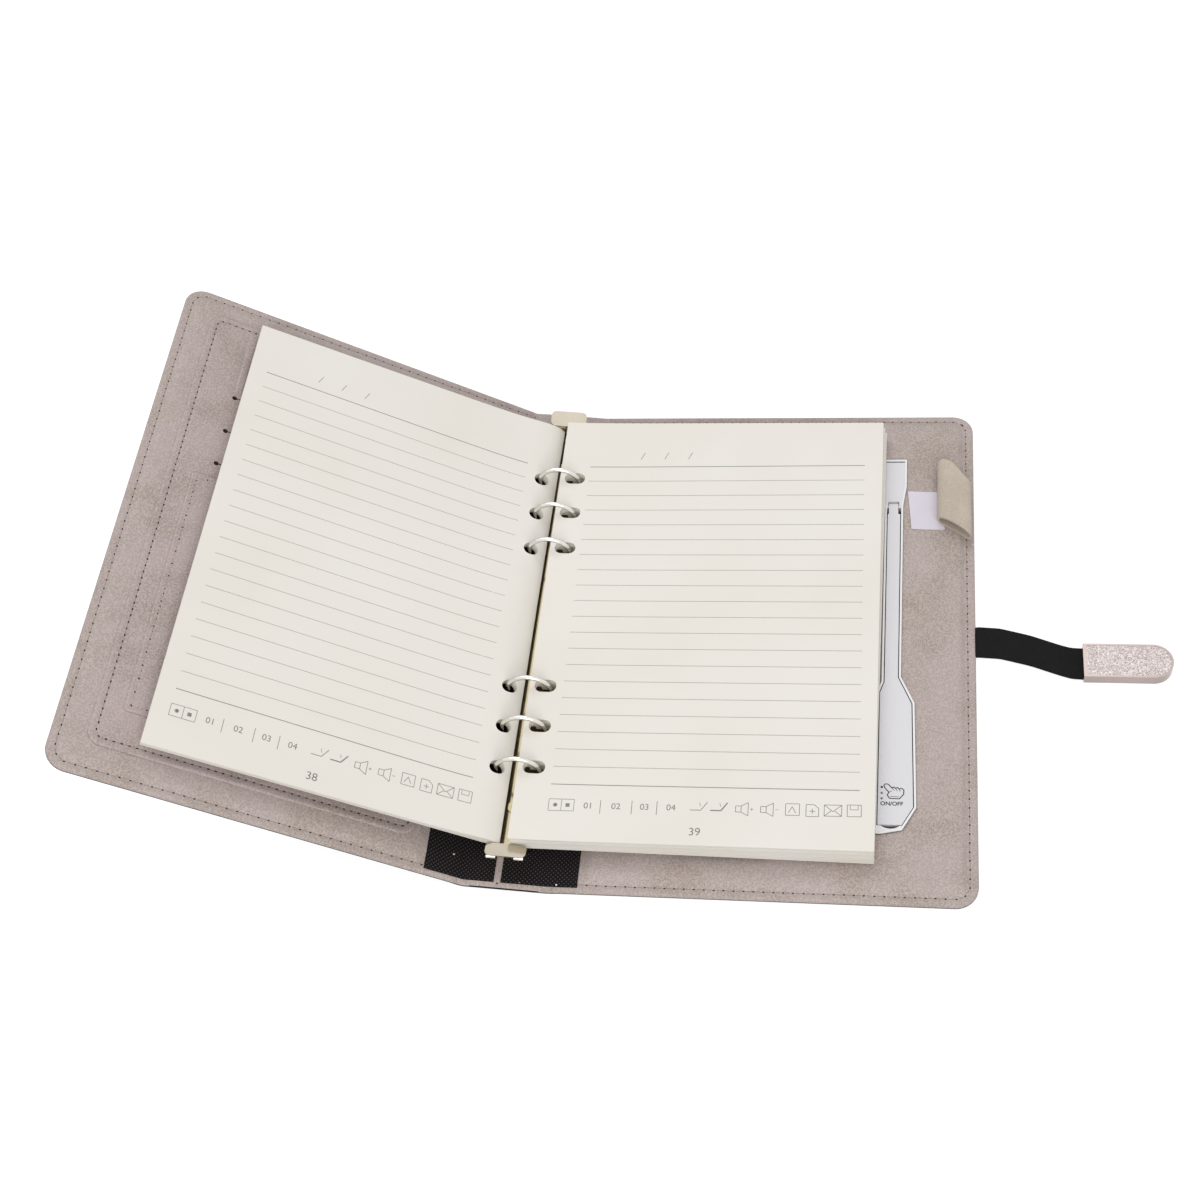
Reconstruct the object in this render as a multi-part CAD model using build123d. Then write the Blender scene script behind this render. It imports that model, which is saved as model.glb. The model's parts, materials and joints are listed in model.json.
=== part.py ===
from build123d import *
import os
from math import cos, radians, sin, tan

# A six-ring loose-leaf notebook with a power bank, a fold-up lamp and a strap with a magnetic clasp.
# It lies open: back cover flat, spine a little raised, front cover standing up.
# X runs from the spine to the fore edge, Y along the spine, Z up. Sizes are in millimetres.
# The origin is the centre of the back cover's underside.
# The spine and the front cover are drawn flat, in line with the back cover, and then folded up.

# Covers
HEIGHT = 240.0
COVER = 165.0
SPINE = 32.0
CORNER = 9.0
SKIN = 0.7
MARGIN_TOP = 2.0
BACK_TOP = 4.0
FRONT_TOP = 3.0
BACK_BOARD_TOP = 3.3
FRONT_BOARD_TOP = 2.3
SPINE_BOARD_TOP = 1.5
MARGIN = 3.0
BOARD_INSET = 6.0
BACK_BARE = 14.0
FRONT_BARE = 17.0
HINGE_REACH = 2.5
SEAM_GAP = 0.1

# Folds
FOLD_Z = 2.0
BACK_FOLD_X = -COVER / 2
FRONT_FOLD_X = BACK_FOLD_X - SPINE
FREE_EDGE_X = FRONT_FOLD_X - COVER
SPINE_REST = 6.6
FRONT_REST = 24.8
CLOSED_TURN = 90.0

# Hinge strips inside the spine, u is the distance from the back fold towards the front cover
STRIP_THICK = 0.4
STRIP_LOW_Y = -118.0
STRIP_TOP_Y = 103.0
RIGHT_STRIP_U = 17.4
RIGHT_STRIP_REACH = 12.6
LEFT_STRIP_U = 20.1
LEFT_STRIP_REACH = 16.5

# Ring mechanism, drawn flat on the spine
RING_X = BACK_FOLD_X - SPINE / 2
RING_Z = 11.3
RING_R = 8.9
WIRE_R = 1.0
RING_ROWS = [73.0, 54.0, 35.0, -35.0, -54.0, -73.0]
ARCH_BASE_Z = MARGIN_TOP + STRIP_THICK
ARCH_SIDE_Z = 3.6
ARCH_APEX_Z = 4.65
ARCH_HALF_WIDTH = 8.9
ARCH_HALF_LENGTH = 104.5
ARCH_THICK = 0.5
RAIL_BOTTOM = 2.75
RAIL_TOP = 3.2
RAIL_HALF_LENGTH = 101.0
RAIL_OUTER = 7.9
RAIL_GAP = 0.15
TAB_OUTER = 11.2
TAB_HALF = 1.9
NOTCH_HALF = 2.7
RIVET_Y = 86.2
RIVET_R = 1.8
RIVET_HEAD_R = 2.6
RIVET_HEAD_THICK = 0.35
RIVET_BORE_R = 1.0
RIVET_HOLE_CLEAR = 0.6
RINGS_OPEN = 5.6

# Levers at the ends of the ring mechanism
LEVER_PIN_Y = 103.0
LEVER_PIN_Z = 3.2
LEVER_PIN_R = 0.5
LEVER_BORE_R = 0.55
LEVER_EYE_R = 0.65
LEVER_PIN_HALF = 6.5
LEVER_ARM_HALF = 3.0
LEVER_PLATE_HALF = 8.0
LEVER_TAIL_Y = 101.7
LEVER_RISER_Y = 105.7
LEVER_END_Y = 112.3
LEVER_STEP_Z = 10.3
LEVER_TIP_Z = 12.7
LEVER_THICK = 0.8
LEVER_CORNER = 2.2
LEVER_FOOT_R = 1.0
LEVER_FOOT_BORE_R = 0.5
LEVER_FOOT_SHIFT = 5.4
LEVER_FOOT_HALF = 1.8

# Sheets
PAGE_HALF = 105.0
PAGE_RIGHT_X = 43.7
HOLE_WIDTH = 6.0
HOLE_MARGIN = 0.35
SHEET_CLEAR = 0.15
EDGE_STRIP = 1.2
LEFT_TILT = 30.29
LEFT_NEAR = 1.08
LEFT_FAR = 143.08
LEFT_BOTTOM = 5.74
LEFT_TOP = 3.54
LEFT_HOLE_R = 3.1
LEFT_HOLE_IN = 7.65

# Pockets of the front cover, s is the distance from the free edge
POCKET_THICK = 0.6
LARGE_POCKET_S = (12.6, 142.0)
LARGE_POCKET_Y = (-107.2, 108.4)
LARGE_POCKET_CORNER = 6.0
SMALL_POCKET_S = (22.8, 125.0)
SMALL_POCKET_Y = (-90.5, 24.5)
SMALL_POCKET_CORNER = 1.5
CARD_SLOTS_Y = [67.6, 49.5, 32.1]
CARD_SLOT_S = (31.2, 122.0)
CARD_SLOT_WIDTH = 0.6
CARD_SLOT_END_R = 1.1
MAGNET_X = -252.5
MAGNET_Y = -10.6

# Power bank
CASE_X = (-60.84, 41.7)
CASE_HALF = 90.0
CASE_BOTTOM = SKIN
CASE_SPLIT = 2.4
CASE_TOP = 4.8
CASE_WALL = 1.2
CASE_SKIN = 0.7
CASE_CORNER = 3.0
CASE_CLEAR = 0.5
SCREW_INSET = 3.8
SCREW_BOSS_R = 2.4
SCREW_HEAD_R = 1.5
SCREW_HEAD_THICK = 0.9
SCREW_SHANK_R = 0.8
SCREW_END_DEPTH = 1.2
CELL_SIZE = (78.0, 140.0)
CELL_AT = (-18.0, 8.0)
CELL_Z = (1.5, 4.0)
CIRCUIT_X = (-50.0, 34.0)
CIRCUIT_Y = (-84.5, -65.0)
CIRCUIT_Z = (1.9, 2.7)
LIGHT_R = 0.8
PORTS_X = [-22.0, -6.0]
PORT_SIZE = (9.0, 7.5, 3.2)
PORT_MOUTH = (8.3, 2.5)
TONGUE_HALF = 3.2
TROUGH_PAST = 9.0
TROUGH_END_Y = -103.0
PORT_Z = 2.55
BUTTON_X = 20.0
BUTTON_Y = -74.0
BUTTON_R = 2.8
BUTTON_TRAVEL = 0.4
LIGHTS_X = [6.0, 9.0, 12.0, 15.0]

# Lamp tray and lamp
TRAY_OUTLINE = [
    (43.16, 92.9), (53.96, 92.9), (53.96, 78.3), (52.56, 67.5), (52.56, -20.2),
    (58.06, -32.5), (59.06, -80.0), (53.76, -89.7), (45.46, -91.5), (43.16, -91.5),
    (43.16, -27.5), (44.86, -22.5), (44.86, 66.5), (43.16, 70.0),
]
TRAY_RIM = 0.8
TRAY_FLOOR = 1.2
LAMP_GAP = 0.4
LAMP_BOTTOM = 1.4
LAMP_TOP = 4.6
LAMP_SPLIT = 2.6
LAMP_PIN_Y = 67.9
LAMP_PIN_Z = 3.0
LAMP_PIN_R = 0.6
LAMP_BORE_R = 0.65
LAMP_ARM_X = (46.5, 50.5)
LAMP_PANEL_Y = (-81.0, -33.0)
LAMP_PANEL_X = (46.2, 55.6)
LAMP_CAVITY_Z = (2.0, 3.9)
LAMP_ZONE_X = (40.0, 60.0)
LAMP_ZONE_Z = (0.0, 10.0)
LAMP_NECK_Y = 63.0
LAMP_END_Y = -87.6
LIGHT_BOARD_THICK = 0.8
TOUCH_PAD_X = (47.0, 54.8)
TOUCH_PAD_Y = (-80.5, -68.0)
TOUCH_PAD_THICK = 0.5
HEAD_BLOCK_Y = (66.4, 91.4)
HORN_DEPTH_Y = 69.8
HORN_CLEAR = 0.3
LIP_SCOOP_R = 5.9
LIP_SCOOP_AT = (49.2, -83.4)

# Pen loop and tag
LOOP_OUTLINE = [
    (66.46, 90.6), (68.56, 92.3), (73.76, 90.0), (77.16, 83.3), (81.36, 78.3), (81.46, 49.2), (66.86, 59.8),
]
LOOP_X = (66.9, 81.4)
LOOP_Z = (4.25, 10.65)
LOOP_WALL = 0.9
LOOP_BASE_X = (71.0, 76.5)
LOOP_BASE_Y = (60.0, 82.0)
TAG_OUTLINE = [(54.51, 75.5), (66.86, 75.3), (70.26, 55.0), (56.16, 55.1)]
TAG_THICK = 0.2

# Strap and clasp
STRAP_HALF = 7.3
STRAP_THICK = 1.8
STRAP_TOP = 2.3
STRAP_ROOT_X = (77.0, 83.3)
STRAP_SEWN_THICK = 1.0
STRAP_END_X = 131.0
STRAP_END_Y = -10.15
CLASP_FOLD_X = 120.25
STRAP_PATH = [(83.4, -0.6), (92.2, -1.1), (104.2, -4.3), (115.8, -8.7), (120.2, -10.1)]
CLASP_X = (124.66, 159.66)
CLASP_Y = -10.6
CLASP_HALF = 7.85
CLASP_TOP = 5.0
CLASP_MAGNET_X = 147.0
CLASP_SCREW_X = 128.0
CLASP_SCREW_APART = 7.4
INLAY_BAR = 1.5
INLAY_RIM = 0.8
INLAY_DEPTH = 0.6


def block(x_span, y_span, z_span):
    """A box between two opposite corners, given as three spans."""
    middle = [(low + high) / 2 for low, high in (x_span, y_span, z_span)]
    size = [high - low for low, high in (x_span, y_span, z_span)]
    return Pos(*middle) * Box(*size)


def slab(outline, low, high, taper=0.0):
    """An outline drawn in plan and raised from one height to another."""
    return Pos(0, 0, low) * extrude(outline, amount=high - low, taper=taper)


def outline_of(points):
    """A closed outline through corner points."""
    return make_face(Polyline(*points, close=True))


def drawn_in(points, amount):
    """The corners of a clockwise outline moved in: each edge shifts, and neighbours meet again."""
    corners = []
    for before, corner, after in zip(points[-1:] + points[:-1], points, points[1:] + points[:1]):
        first = Vector(corner[0] - before[0], corner[1] - before[1]).normalized()
        second = Vector(after[0] - corner[0], after[1] - corner[1]).normalized()
        normals = Vector(first.Y, -first.X) + Vector(second.Y, -second.X)
        shift = normals * (2 * amount / normals.length ** 2)
        corners.append((corner[0] + shift.X, corner[1] + shift.Y))
    return outline_of(corners)


def disc(x, y, radius, low, high):
    """A round disc standing on its flat side."""
    return Pos(x, y, (low + high) / 2) * Cylinder(radius, high - low)


def rod_along_x(x_span, y, z, radius):
    """A round rod along X."""
    middle = (x_span[0] + x_span[1]) / 2
    return Pos(middle, y, z) * Rot(0, 90, 0) * Cylinder(radius, x_span[1] - x_span[0])


def panel_outline(fold_x, free_x, inset=0.0, fold_inset=SEAM_GAP):
    """A cover's outline with its two corners rounded at the free edge."""
    toward = 1 if free_x > fold_x else -1
    near = fold_x + toward * fold_inset
    far = free_x - toward * inset
    sketch = Pos((near + far) / 2, 0) * Rectangle(abs(far - near), HEIGHT - 2 * inset)
    corners = sketch.vertices().group_by(Axis.X)[-1 if toward > 0 else 0]
    return fillet(corners, CORNER - min(inset, CORNER / 2))


def fold_spine(part):
    """Turns a part drawn flat up by the spine's rest angle."""
    return part.rotate(Axis((BACK_FOLD_X, 0, FOLD_Z), (0, 1, 0)), SPINE_REST)


def fold_front(part):
    """Turns a part drawn flat up by the front cover's rest angle, and then with the spine."""
    return fold_spine(part.rotate(Axis((FRONT_FOLD_X, 0, FOLD_Z), (0, 1, 0)), FRONT_REST))


def side_solid(points, y_span):
    """A solid whose side view is given in X and Z, reaching over a span of Y."""
    face = make_face(Polyline(*[(x, y_span[0], z) for x, z in points], close=True))
    return extrude(face, amount=y_span[1] - y_span[0], dir=(0, 1, 0))


def end_solid(points, half):
    """A solid whose end view is given in Y and Z, reaching to both sides of the ring mechanism's middle."""
    face = make_face(Polyline(*[(RING_X - half, y, z) for y, z in points], close=True))
    return extrude(face, amount=2 * half, dir=(1, 0, 0))


def turned(fold_x, across, height, angle):
    """A point left of a fold, across it and above or below its axis, once the fold has turned."""
    turn = radians(angle)
    return fold_x - across * cos(turn) + height * sin(turn), FOLD_Z + across * sin(turn) + height * cos(turn)


def hinge_skin(fold_x, angle):
    """The outer skin round a fold: flat, then an arc about the fold's axis, then flat again."""
    steps = 6
    outer = [turned(fold_x, 0, -FOLD_Z, angle * step / steps) for step in range(steps + 1)]
    inner = [turned(fold_x, 0, SKIN - FOLD_Z, angle * step / steps) for step in range(steps, -1, -1)]
    left = [turned(fold_x, HINGE_REACH, -FOLD_Z, angle), turned(fold_x, HINGE_REACH, SKIN - FOLD_Z, angle)]
    right = [(fold_x + HINGE_REACH, SKIN), (fold_x + HINGE_REACH, 0)]
    return side_solid(outer + left + inner + right, (-HEIGHT / 2, HEIGHT / 2))


def hinge_strip(fold_x, left_reach, right_reach, angle):
    """A thin strip lying inside a fold, mitred where its two flat runs meet."""
    mitre = STRIP_THICK * tan(radians(angle / 2))
    points = [
        (fold_x + right_reach, FOLD_Z),
        (fold_x, FOLD_Z),
        turned(fold_x, left_reach, 0, angle),
        turned(fold_x, left_reach, STRIP_THICK, angle),
        (fold_x + mitre, FOLD_Z + STRIP_THICK),
        (fold_x + right_reach, FOLD_Z + STRIP_THICK),
    ]
    return side_solid(points, (STRIP_LOW_Y, STRIP_TOP_Y))


def cover_layers(fold_x, free_x, bare, board_top, top):
    """The skin, the board and the sewn lining of one cover, drawn flat."""
    toward = 1 if free_x > fold_x else -1
    skin = slab(panel_outline(fold_x, free_x, fold_inset=HINGE_REACH), 0, SKIN)
    board_start = bare + MARGIN
    board = slab(panel_outline(fold_x, free_x, BOARD_INSET, board_start), SKIN, board_top)
    margin = slab(panel_outline(fold_x, free_x), SKIN, MARGIN_TOP)
    raised = slab(panel_outline(fold_x, free_x, MARGIN, bare), MARGIN_TOP, top, taper=45)
    lining = margin + raised - board
    if toward > 0:
        lining -= tray_window() + case_window() + port_trough() + strap_channel()
        board -= tray_window() + case_window() + port_trough()
    return skin, board, lining


def case_window():
    """The hole in board and lining that the power bank sits in."""
    x_span = (CASE_X[0] - CASE_CLEAR, CASE_X[1] + CASE_CLEAR)
    return block(x_span, (-CASE_HALF - CASE_CLEAR, CASE_HALF + CASE_CLEAR), (SKIN, CASE_TOP))


def tray_window():
    """The hole in board and lining that the lamp tray sits in."""
    return slab(outline_of(TRAY_OUTLINE), SKIN, CASE_TOP)


def port_trough():
    """A trough below the sheets that leaves room for a plug in front of the charging sockets."""
    x_span = (PORTS_X[0] - TROUGH_PAST, PORTS_X[-1] + TROUGH_PAST)
    return block(x_span, (TROUGH_END_Y, -CASE_HALF), (SKIN, CASE_TOP))


def strap_channel():
    """The pocket between skin and lining that the strap's root is sewn into."""
    return block((STRAP_ROOT_X[0], COVER / 2 + 1), strap_root_span(), (SKIN, SKIN + STRAP_SEWN_THICK))


def strap_root_span():
    """Where the strap's root lies along Y."""
    return STRAP_PATH[0][1] - STRAP_HALF, STRAP_PATH[0][1] + STRAP_HALF


def spine_layers():
    """The spine's skin, board and lining, drawn flat."""
    right = BACK_FOLD_X - SEAM_GAP
    left = FRONT_FOLD_X + SEAM_GAP
    ends = (-HEIGHT / 2, HEIGHT / 2)
    skin = block((FRONT_FOLD_X + HINGE_REACH, BACK_FOLD_X - HINGE_REACH), ends, (0, SKIN))
    board_ends = (-HEIGHT / 2 + BOARD_INSET, HEIGHT / 2 - BOARD_INSET)
    board = block((left + HINGE_REACH, right - HINGE_REACH), board_ends, (SKIN, SPINE_BOARD_TOP))
    lining = block((left, right), ends, (SKIN, MARGIN_TOP)) - board
    return skin, board, lining


def arch_plate():
    """The arched cover of the ring mechanism, with notches for the ring feet and holes for the pins."""
    rise = ARCH_APEX_Z - ARCH_SIDE_Z
    radius = (ARCH_HALF_WIDTH ** 2 + rise ** 2) / (2 * rise)
    ends = (-ARCH_HALF_LENGTH, ARCH_HALF_LENGTH)
    tall = (ARCH_BASE_Z, ARCH_APEX_Z + 1)
    center = Pos(RING_X, 0, ARCH_APEX_Z - radius) * Rot(90, 0, 0)
    outer = block((RING_X - ARCH_HALF_WIDTH, RING_X + ARCH_HALF_WIDTH), ends, tall)
    outer &= center * Cylinder(radius, 2 * ARCH_HALF_LENGTH)
    inner_half = ARCH_HALF_WIDTH - ARCH_THICK
    inner = block((RING_X - inner_half, RING_X + inner_half), ends, tall)
    inner &= center * Cylinder(radius - ARCH_THICK, 2 * ARCH_HALF_LENGTH)
    plate = outer - inner
    for y in RING_ROWS:
        for side in (-1, 1):
            x_span = sorted((RING_X + side * (RAIL_OUTER - 0.7), RING_X + side * (ARCH_HALF_WIDTH + 1)))
            plate -= block(x_span, (y - NOTCH_HALF, y + NOTCH_HALF), tall)
    for side in (-1, 1):
        plate -= disc(RING_X, side * RIVET_Y, RIVET_R, ARCH_BASE_Z, ARCH_APEX_Z + 1)
        plate -= lever_pin(side, LEVER_PIN_R)
    return plate


def rivets():
    """Two hollow rivets that hold the ring mechanism on the spine board."""
    solids = []
    for side in (-1, 1):
        shank = disc(RING_X, side * RIVET_Y, RIVET_R, SPINE_BOARD_TOP, ARCH_APEX_Z)
        head = disc(RING_X, side * RIVET_Y, RIVET_HEAD_R, ARCH_APEX_Z, ARCH_APEX_Z + RIVET_HEAD_THICK)
        bore = disc(RING_X, side * RIVET_Y, RIVET_BORE_R, SPINE_BOARD_TOP + 0.4, ARCH_APEX_Z + 1)
        solids.append(shank + head - bore)
    return solids


def rivet_holes():
    """The holes that the rivets pass through."""
    return [disc(RING_X, side * RIVET_Y, RIVET_R, SPINE_BOARD_TOP, ARCH_APEX_Z) for side in (-1, 1)]


def ring_rail(side):
    """One of the two rails under the arch, with a tab for each half ring."""
    ends = (-RAIL_HALF_LENGTH, RAIL_HALF_LENGTH)
    heights = (RAIL_BOTTOM, RAIL_TOP)
    rail = block(sorted((RING_X + side * RAIL_GAP, RING_X + side * RAIL_OUTER)), ends, heights)
    for y in RING_ROWS:
        x_span = sorted((RING_X + side * (RAIL_OUTER - 1), RING_X + side * TAB_OUTER))
        rail += block(x_span, (y - TAB_HALF, y + TAB_HALF), heights)
    for end in (-1, 1):
        rail -= disc(RING_X, end * RIVET_Y, RIVET_R + RIVET_HOLE_CLEAR, 0, ARCH_APEX_Z)
    return rail


def half_rings(side):
    """Six half rings of round wire: a quarter circle from the apex, then a straight leg down to its tab."""
    solids = []
    for y in RING_ROWS:
        ring = Pos(RING_X, y, RING_Z) * Rot(90, 0, 0) * Torus(RING_R, WIRE_R)
        x_span = sorted((RING_X + side * RAIL_GAP / 3, RING_X + side * (RING_R + 2)))
        quarter = ring & block(x_span, (y - 2, y + 2), (RING_Z, RING_Z + RING_R + 2))
        leg = disc(RING_X + side * RING_R, y, WIRE_R, RAIL_TOP, RING_Z)
        solids.append(quarter + leg)
    return solids


def lever_pin(side, radius):
    """The pin that a lever turns on."""
    x_span = (RING_X - LEVER_PIN_HALF, RING_X + LEVER_PIN_HALF)
    return rod_along_x(x_span, side * LEVER_PIN_Y, LEVER_PIN_Z, radius)


def ring_lever(side):
    """An opening lever: an arm on the pin, a riser, and a thumb plate that slopes up to two rolled feet."""
    low_z = LEVER_PIN_Z - 0.35
    high_z = LEVER_PIN_Z + 0.3
    slope = (LEVER_TIP_Z - LEVER_STEP_Z) / (LEVER_END_Y - LEVER_RISER_Y)
    inner_y = LEVER_RISER_Y + LEVER_THICK
    arm = [
        (LEVER_TAIL_Y, low_z),
        (inner_y, low_z),
        (inner_y, LEVER_STEP_Z + LEVER_THICK),
        (LEVER_RISER_Y, LEVER_STEP_Z + LEVER_THICK),
        (LEVER_RISER_Y, high_z),
        (LEVER_TAIL_Y, high_z),
    ]
    plate = [
        (LEVER_RISER_Y, LEVER_STEP_Z),
        (LEVER_END_Y, LEVER_TIP_Z),
        (LEVER_END_Y, LEVER_TIP_Z + LEVER_THICK),
        (LEVER_RISER_Y, LEVER_STEP_Z + LEVER_THICK),
    ]
    middle = (RING_X - LEVER_ARM_HALF, RING_X + LEVER_ARM_HALF)
    wide_middle_y = (LEVER_RISER_Y + LEVER_END_Y) / 2
    corners = Pos(RING_X, wide_middle_y) * RectangleRounded(
        2 * LEVER_PLATE_HALF, LEVER_END_Y - LEVER_RISER_Y, LEVER_CORNER
    )
    lever = end_solid(arm, LEVER_ARM_HALF)
    lever += end_solid(plate, LEVER_PLATE_HALF) & slab(corners, 0, 2 * LEVER_TIP_Z)
    foot_y = LEVER_END_Y - LEVER_FOOT_R / 2
    foot_z = LEVER_TIP_Z - slope * LEVER_FOOT_R / 2 - LEVER_FOOT_R / 2
    for shift in (-1, 1):
        foot_x = RING_X + shift * LEVER_FOOT_SHIFT
        x_span = (foot_x - LEVER_FOOT_HALF, foot_x + LEVER_FOOT_HALF)
        lever += rod_along_x(x_span, foot_y, foot_z, LEVER_FOOT_R)
        lever -= rod_along_x(x_span, foot_y, foot_z, LEVER_FOOT_BORE_R)
    eye = rod_along_x(middle, LEVER_PIN_Y, LEVER_PIN_Z, LEVER_EYE_R)
    lever += eye & block(middle, (0, HEIGHT), (RAIL_BOTTOM, RAIL_TOP + LEVER_EYE_R))
    lever -= lever_pin(1, LEVER_BORE_R)
    return lever if side > 0 else mirror(lever, Plane.XZ)


def half_ring_path(distance):
    """Points of a half ring about its centre: a quarter circle of this radius, then the straight leg."""
    turns = [radians(90 - 1.5 * step) for step in range(61)]
    arc = [(distance * cos(turn), distance * sin(turn)) for turn in turns]
    leg = [(distance, (RAIL_TOP - RING_Z) * step / 40) for step in range(41)]
    return arc + leg


def ring_reach(profile, slide, left_x):
    """How far along X the right half rings reach through a bundle of sheets over the spine's whole turn.

    A point of the wire first turns about its rail's pivot by the opening angle.
    It then turns about the back fold by the spine's angle, t:
    x = fold + px cos t + pz sin t, z = fold height - px sin t + pz cos t.
    The bundle slides by slide times t meanwhile, which is taken off x.
    """
    pivot = (RAIL_OUTER, (RAIL_BOTTOM + RAIL_TOP) / 2 - RING_Z)
    reach = []
    for opened in (0.0, RINGS_OPEN):
        swing = radians(opened)
        for distance in (RING_R - WIRE_R, RING_R, RING_R + WIRE_R):
            for along_x, along_z in half_ring_path(distance):
                from_pivot_x = along_x - pivot[0]
                from_pivot_z = along_z - pivot[1]
                wire_x = pivot[0] + from_pivot_x * cos(swing) + from_pivot_z * sin(swing)
                wire_z = pivot[1] - from_pivot_x * sin(swing) + from_pivot_z * cos(swing)
                from_fold_x = RING_X + wire_x - BACK_FOLD_X
                from_fold_z = RING_Z + wire_z - FOLD_Z
                for spine_step in range(61):
                    turn = radians(CLOSED_TURN * spine_step / 60)
                    moved = slide * (turn - radians(SPINE_REST))
                    x = BACK_FOLD_X + from_fold_x * cos(turn) + from_fold_z * sin(turn) - moved
                    z = FOLD_Z - from_fold_x * sin(turn) + from_fold_z * cos(turn)
                    along = (x - left_x) / (PAGE_RIGHT_X - left_x)
                    low = profile[0][0] + (profile[1][0] - profile[0][0]) * along
                    high = profile[0][1] + (profile[1][1] - profile[0][1]) * along
                    if low - SHEET_CLEAR < z < high + SHEET_CLEAR and x > left_x - HOLE_MARGIN:
                        reach.append(x)
    return min(reach) - HOLE_MARGIN, max(reach) + HOLE_MARGIN


def right_bundle(profile, slide, left_x, right_x):
    """One bundle of sheets on the back cover, with an elongated hole for each ring."""
    (left_low, left_high), (right_low, right_high) = profile
    side = [(left_x, left_low), (right_x, right_low), (right_x, right_high), (left_x, left_high)]
    bundle = side_solid(side, (-PAGE_HALF, PAGE_HALF))
    hole_low, hole_high = ring_reach(profile, slide, left_x)
    if hole_low < left_x + EDGE_STRIP:
        hole_low = left_x - 1
    for y in RING_ROWS:
        bundle -= block((hole_low, hole_high), (y - HOLE_WIDTH / 2, y + HOLE_WIDTH / 2), (0, 30))
    return bundle


def left_sheets():
    """The stack of sheets on the front cover's side, tilted about the ring centre, with round holes."""
    back_turn = radians(SPINE_REST)
    across = RING_X - BACK_FOLD_X
    above = RING_Z - FOLD_Z
    center_x = BACK_FOLD_X + across * cos(back_turn) + above * sin(back_turn)
    center_z = FOLD_Z - across * sin(back_turn) + above * cos(back_turn)
    heights = (center_z - LEFT_BOTTOM, center_z - LEFT_TOP)
    stack = block((center_x - LEFT_FAR, center_x - LEFT_NEAR), (-PAGE_HALF, PAGE_HALF), heights)
    for y in RING_ROWS:
        stack -= disc(center_x - LEFT_HOLE_IN, y, LEFT_HOLE_R, 0, 2 * center_z)
    return stack.rotate(Axis((center_x, 0, center_z), (0, 1, 0)), LEFT_TILT)


def pocket_outline(s_span, y_span, corner):
    """A pocket's outline on the front cover."""
    middle_x = FREE_EDGE_X + (s_span[0] + s_span[1]) / 2
    middle_y = (y_span[0] + y_span[1]) / 2
    width = s_span[1] - s_span[0]
    height = y_span[1] - y_span[0]
    return Pos(middle_x, middle_y) * RectangleRounded(width, height, corner)


def large_pocket():
    """The large sewn panel with three card slots, each with a round hole at its ends."""
    outline = pocket_outline(LARGE_POCKET_S, LARGE_POCKET_Y, LARGE_POCKET_CORNER)
    panel = slab(outline, FRONT_TOP, FRONT_TOP + POCKET_THICK)
    for y in CARD_SLOTS_Y:
        x_span = (FREE_EDGE_X + CARD_SLOT_S[0], FREE_EDGE_X + CARD_SLOT_S[1])
        y_span = (y - CARD_SLOT_WIDTH / 2, y + CARD_SLOT_WIDTH / 2)
        panel -= block(x_span, y_span, (FRONT_TOP, FRONT_TOP + 1))
        for x in x_span:
            panel -= disc(x, y, CARD_SLOT_END_R, FRONT_TOP, FRONT_TOP + 1)
    return panel


def small_pocket():
    """The small sewn panel on top of the large one."""
    low = FRONT_TOP + POCKET_THICK
    outline = pocket_outline(SMALL_POCKET_S, SMALL_POCKET_Y, SMALL_POCKET_CORNER)
    return slab(outline, low, low + POCKET_THICK)


def case_outline(inset):
    """The power bank's outline, drawn in by an inset."""
    width = CASE_X[1] - CASE_X[0] - 2 * inset
    length = 2 * (CASE_HALF - inset)
    corner = CASE_CORNER - inset
    return Pos((CASE_X[0] + CASE_X[1]) / 2, 0) * RectangleRounded(width, length, corner)


def port_solid(x, grow=0.0):
    """The outer block of one charging socket."""
    width, depth, height = PORT_SIZE
    y_span = (-CASE_HALF, -CASE_HALF + depth + grow)
    x_span = (x - width / 2 - grow, x + width / 2 + grow)
    return block(x_span, y_span, (PORT_Z - height / 2 - grow, PORT_Z + height / 2 + grow))


def screw_places():
    """The four corner bosses of the power bank."""
    (left, right), (low, high) = drawn_spans((CASE_X, (-CASE_HALF, CASE_HALF)), SCREW_INSET)
    return [(x, y) for x in (left, right) for y in (low, high)]


def power_bank():
    """The two case halves and what they hold."""
    cavity = slab(case_outline(CASE_WALL), CASE_BOTTOM + CASE_SKIN, CASE_TOP - CASE_SKIN)
    for x, y in screw_places():
        cavity -= disc(x, y, SCREW_BOSS_R, CASE_BOTTOM, CASE_TOP)
    ports = Compound([port_solid(x) for x in PORTS_X])
    screws = []
    for x, y in screw_places():
        head_top = CASE_BOTTOM + SCREW_HEAD_THICK
        shank = disc(x, y, SCREW_SHANK_R, head_top, CASE_TOP - SCREW_END_DEPTH)
        head = disc(x, y, SCREW_HEAD_R, CASE_BOTTOM, head_top)
        screws.append(shank + head)
    lights = []
    for x in LIGHTS_X:
        lights.append(disc(x, BUTTON_Y, LIGHT_R, 3.2, CASE_TOP + 0.1))
    lower = slab(case_outline(0), CASE_BOTTOM, CASE_SPLIT) - cavity
    upper = slab(case_outline(0), CASE_SPLIT, CASE_TOP) - cavity
    for piece in screws:
        lower -= piece
        upper -= piece
    for piece in lights:
        upper -= piece
    for x in PORTS_X:
        lower -= port_solid(x)
        upper -= port_solid(x)
    upper -= disc(BUTTON_X, BUTTON_Y, BUTTON_R + 0.2, CASE_SPLIT, CASE_TOP)
    cell = slab(Pos(*CELL_AT) * RectangleRounded(*CELL_SIZE, 2), *CELL_Z)
    board = block(CIRCUIT_X, CIRCUIT_Y, CIRCUIT_Z) - ports
    return lower, upper, cell, board, screws, lights


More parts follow.
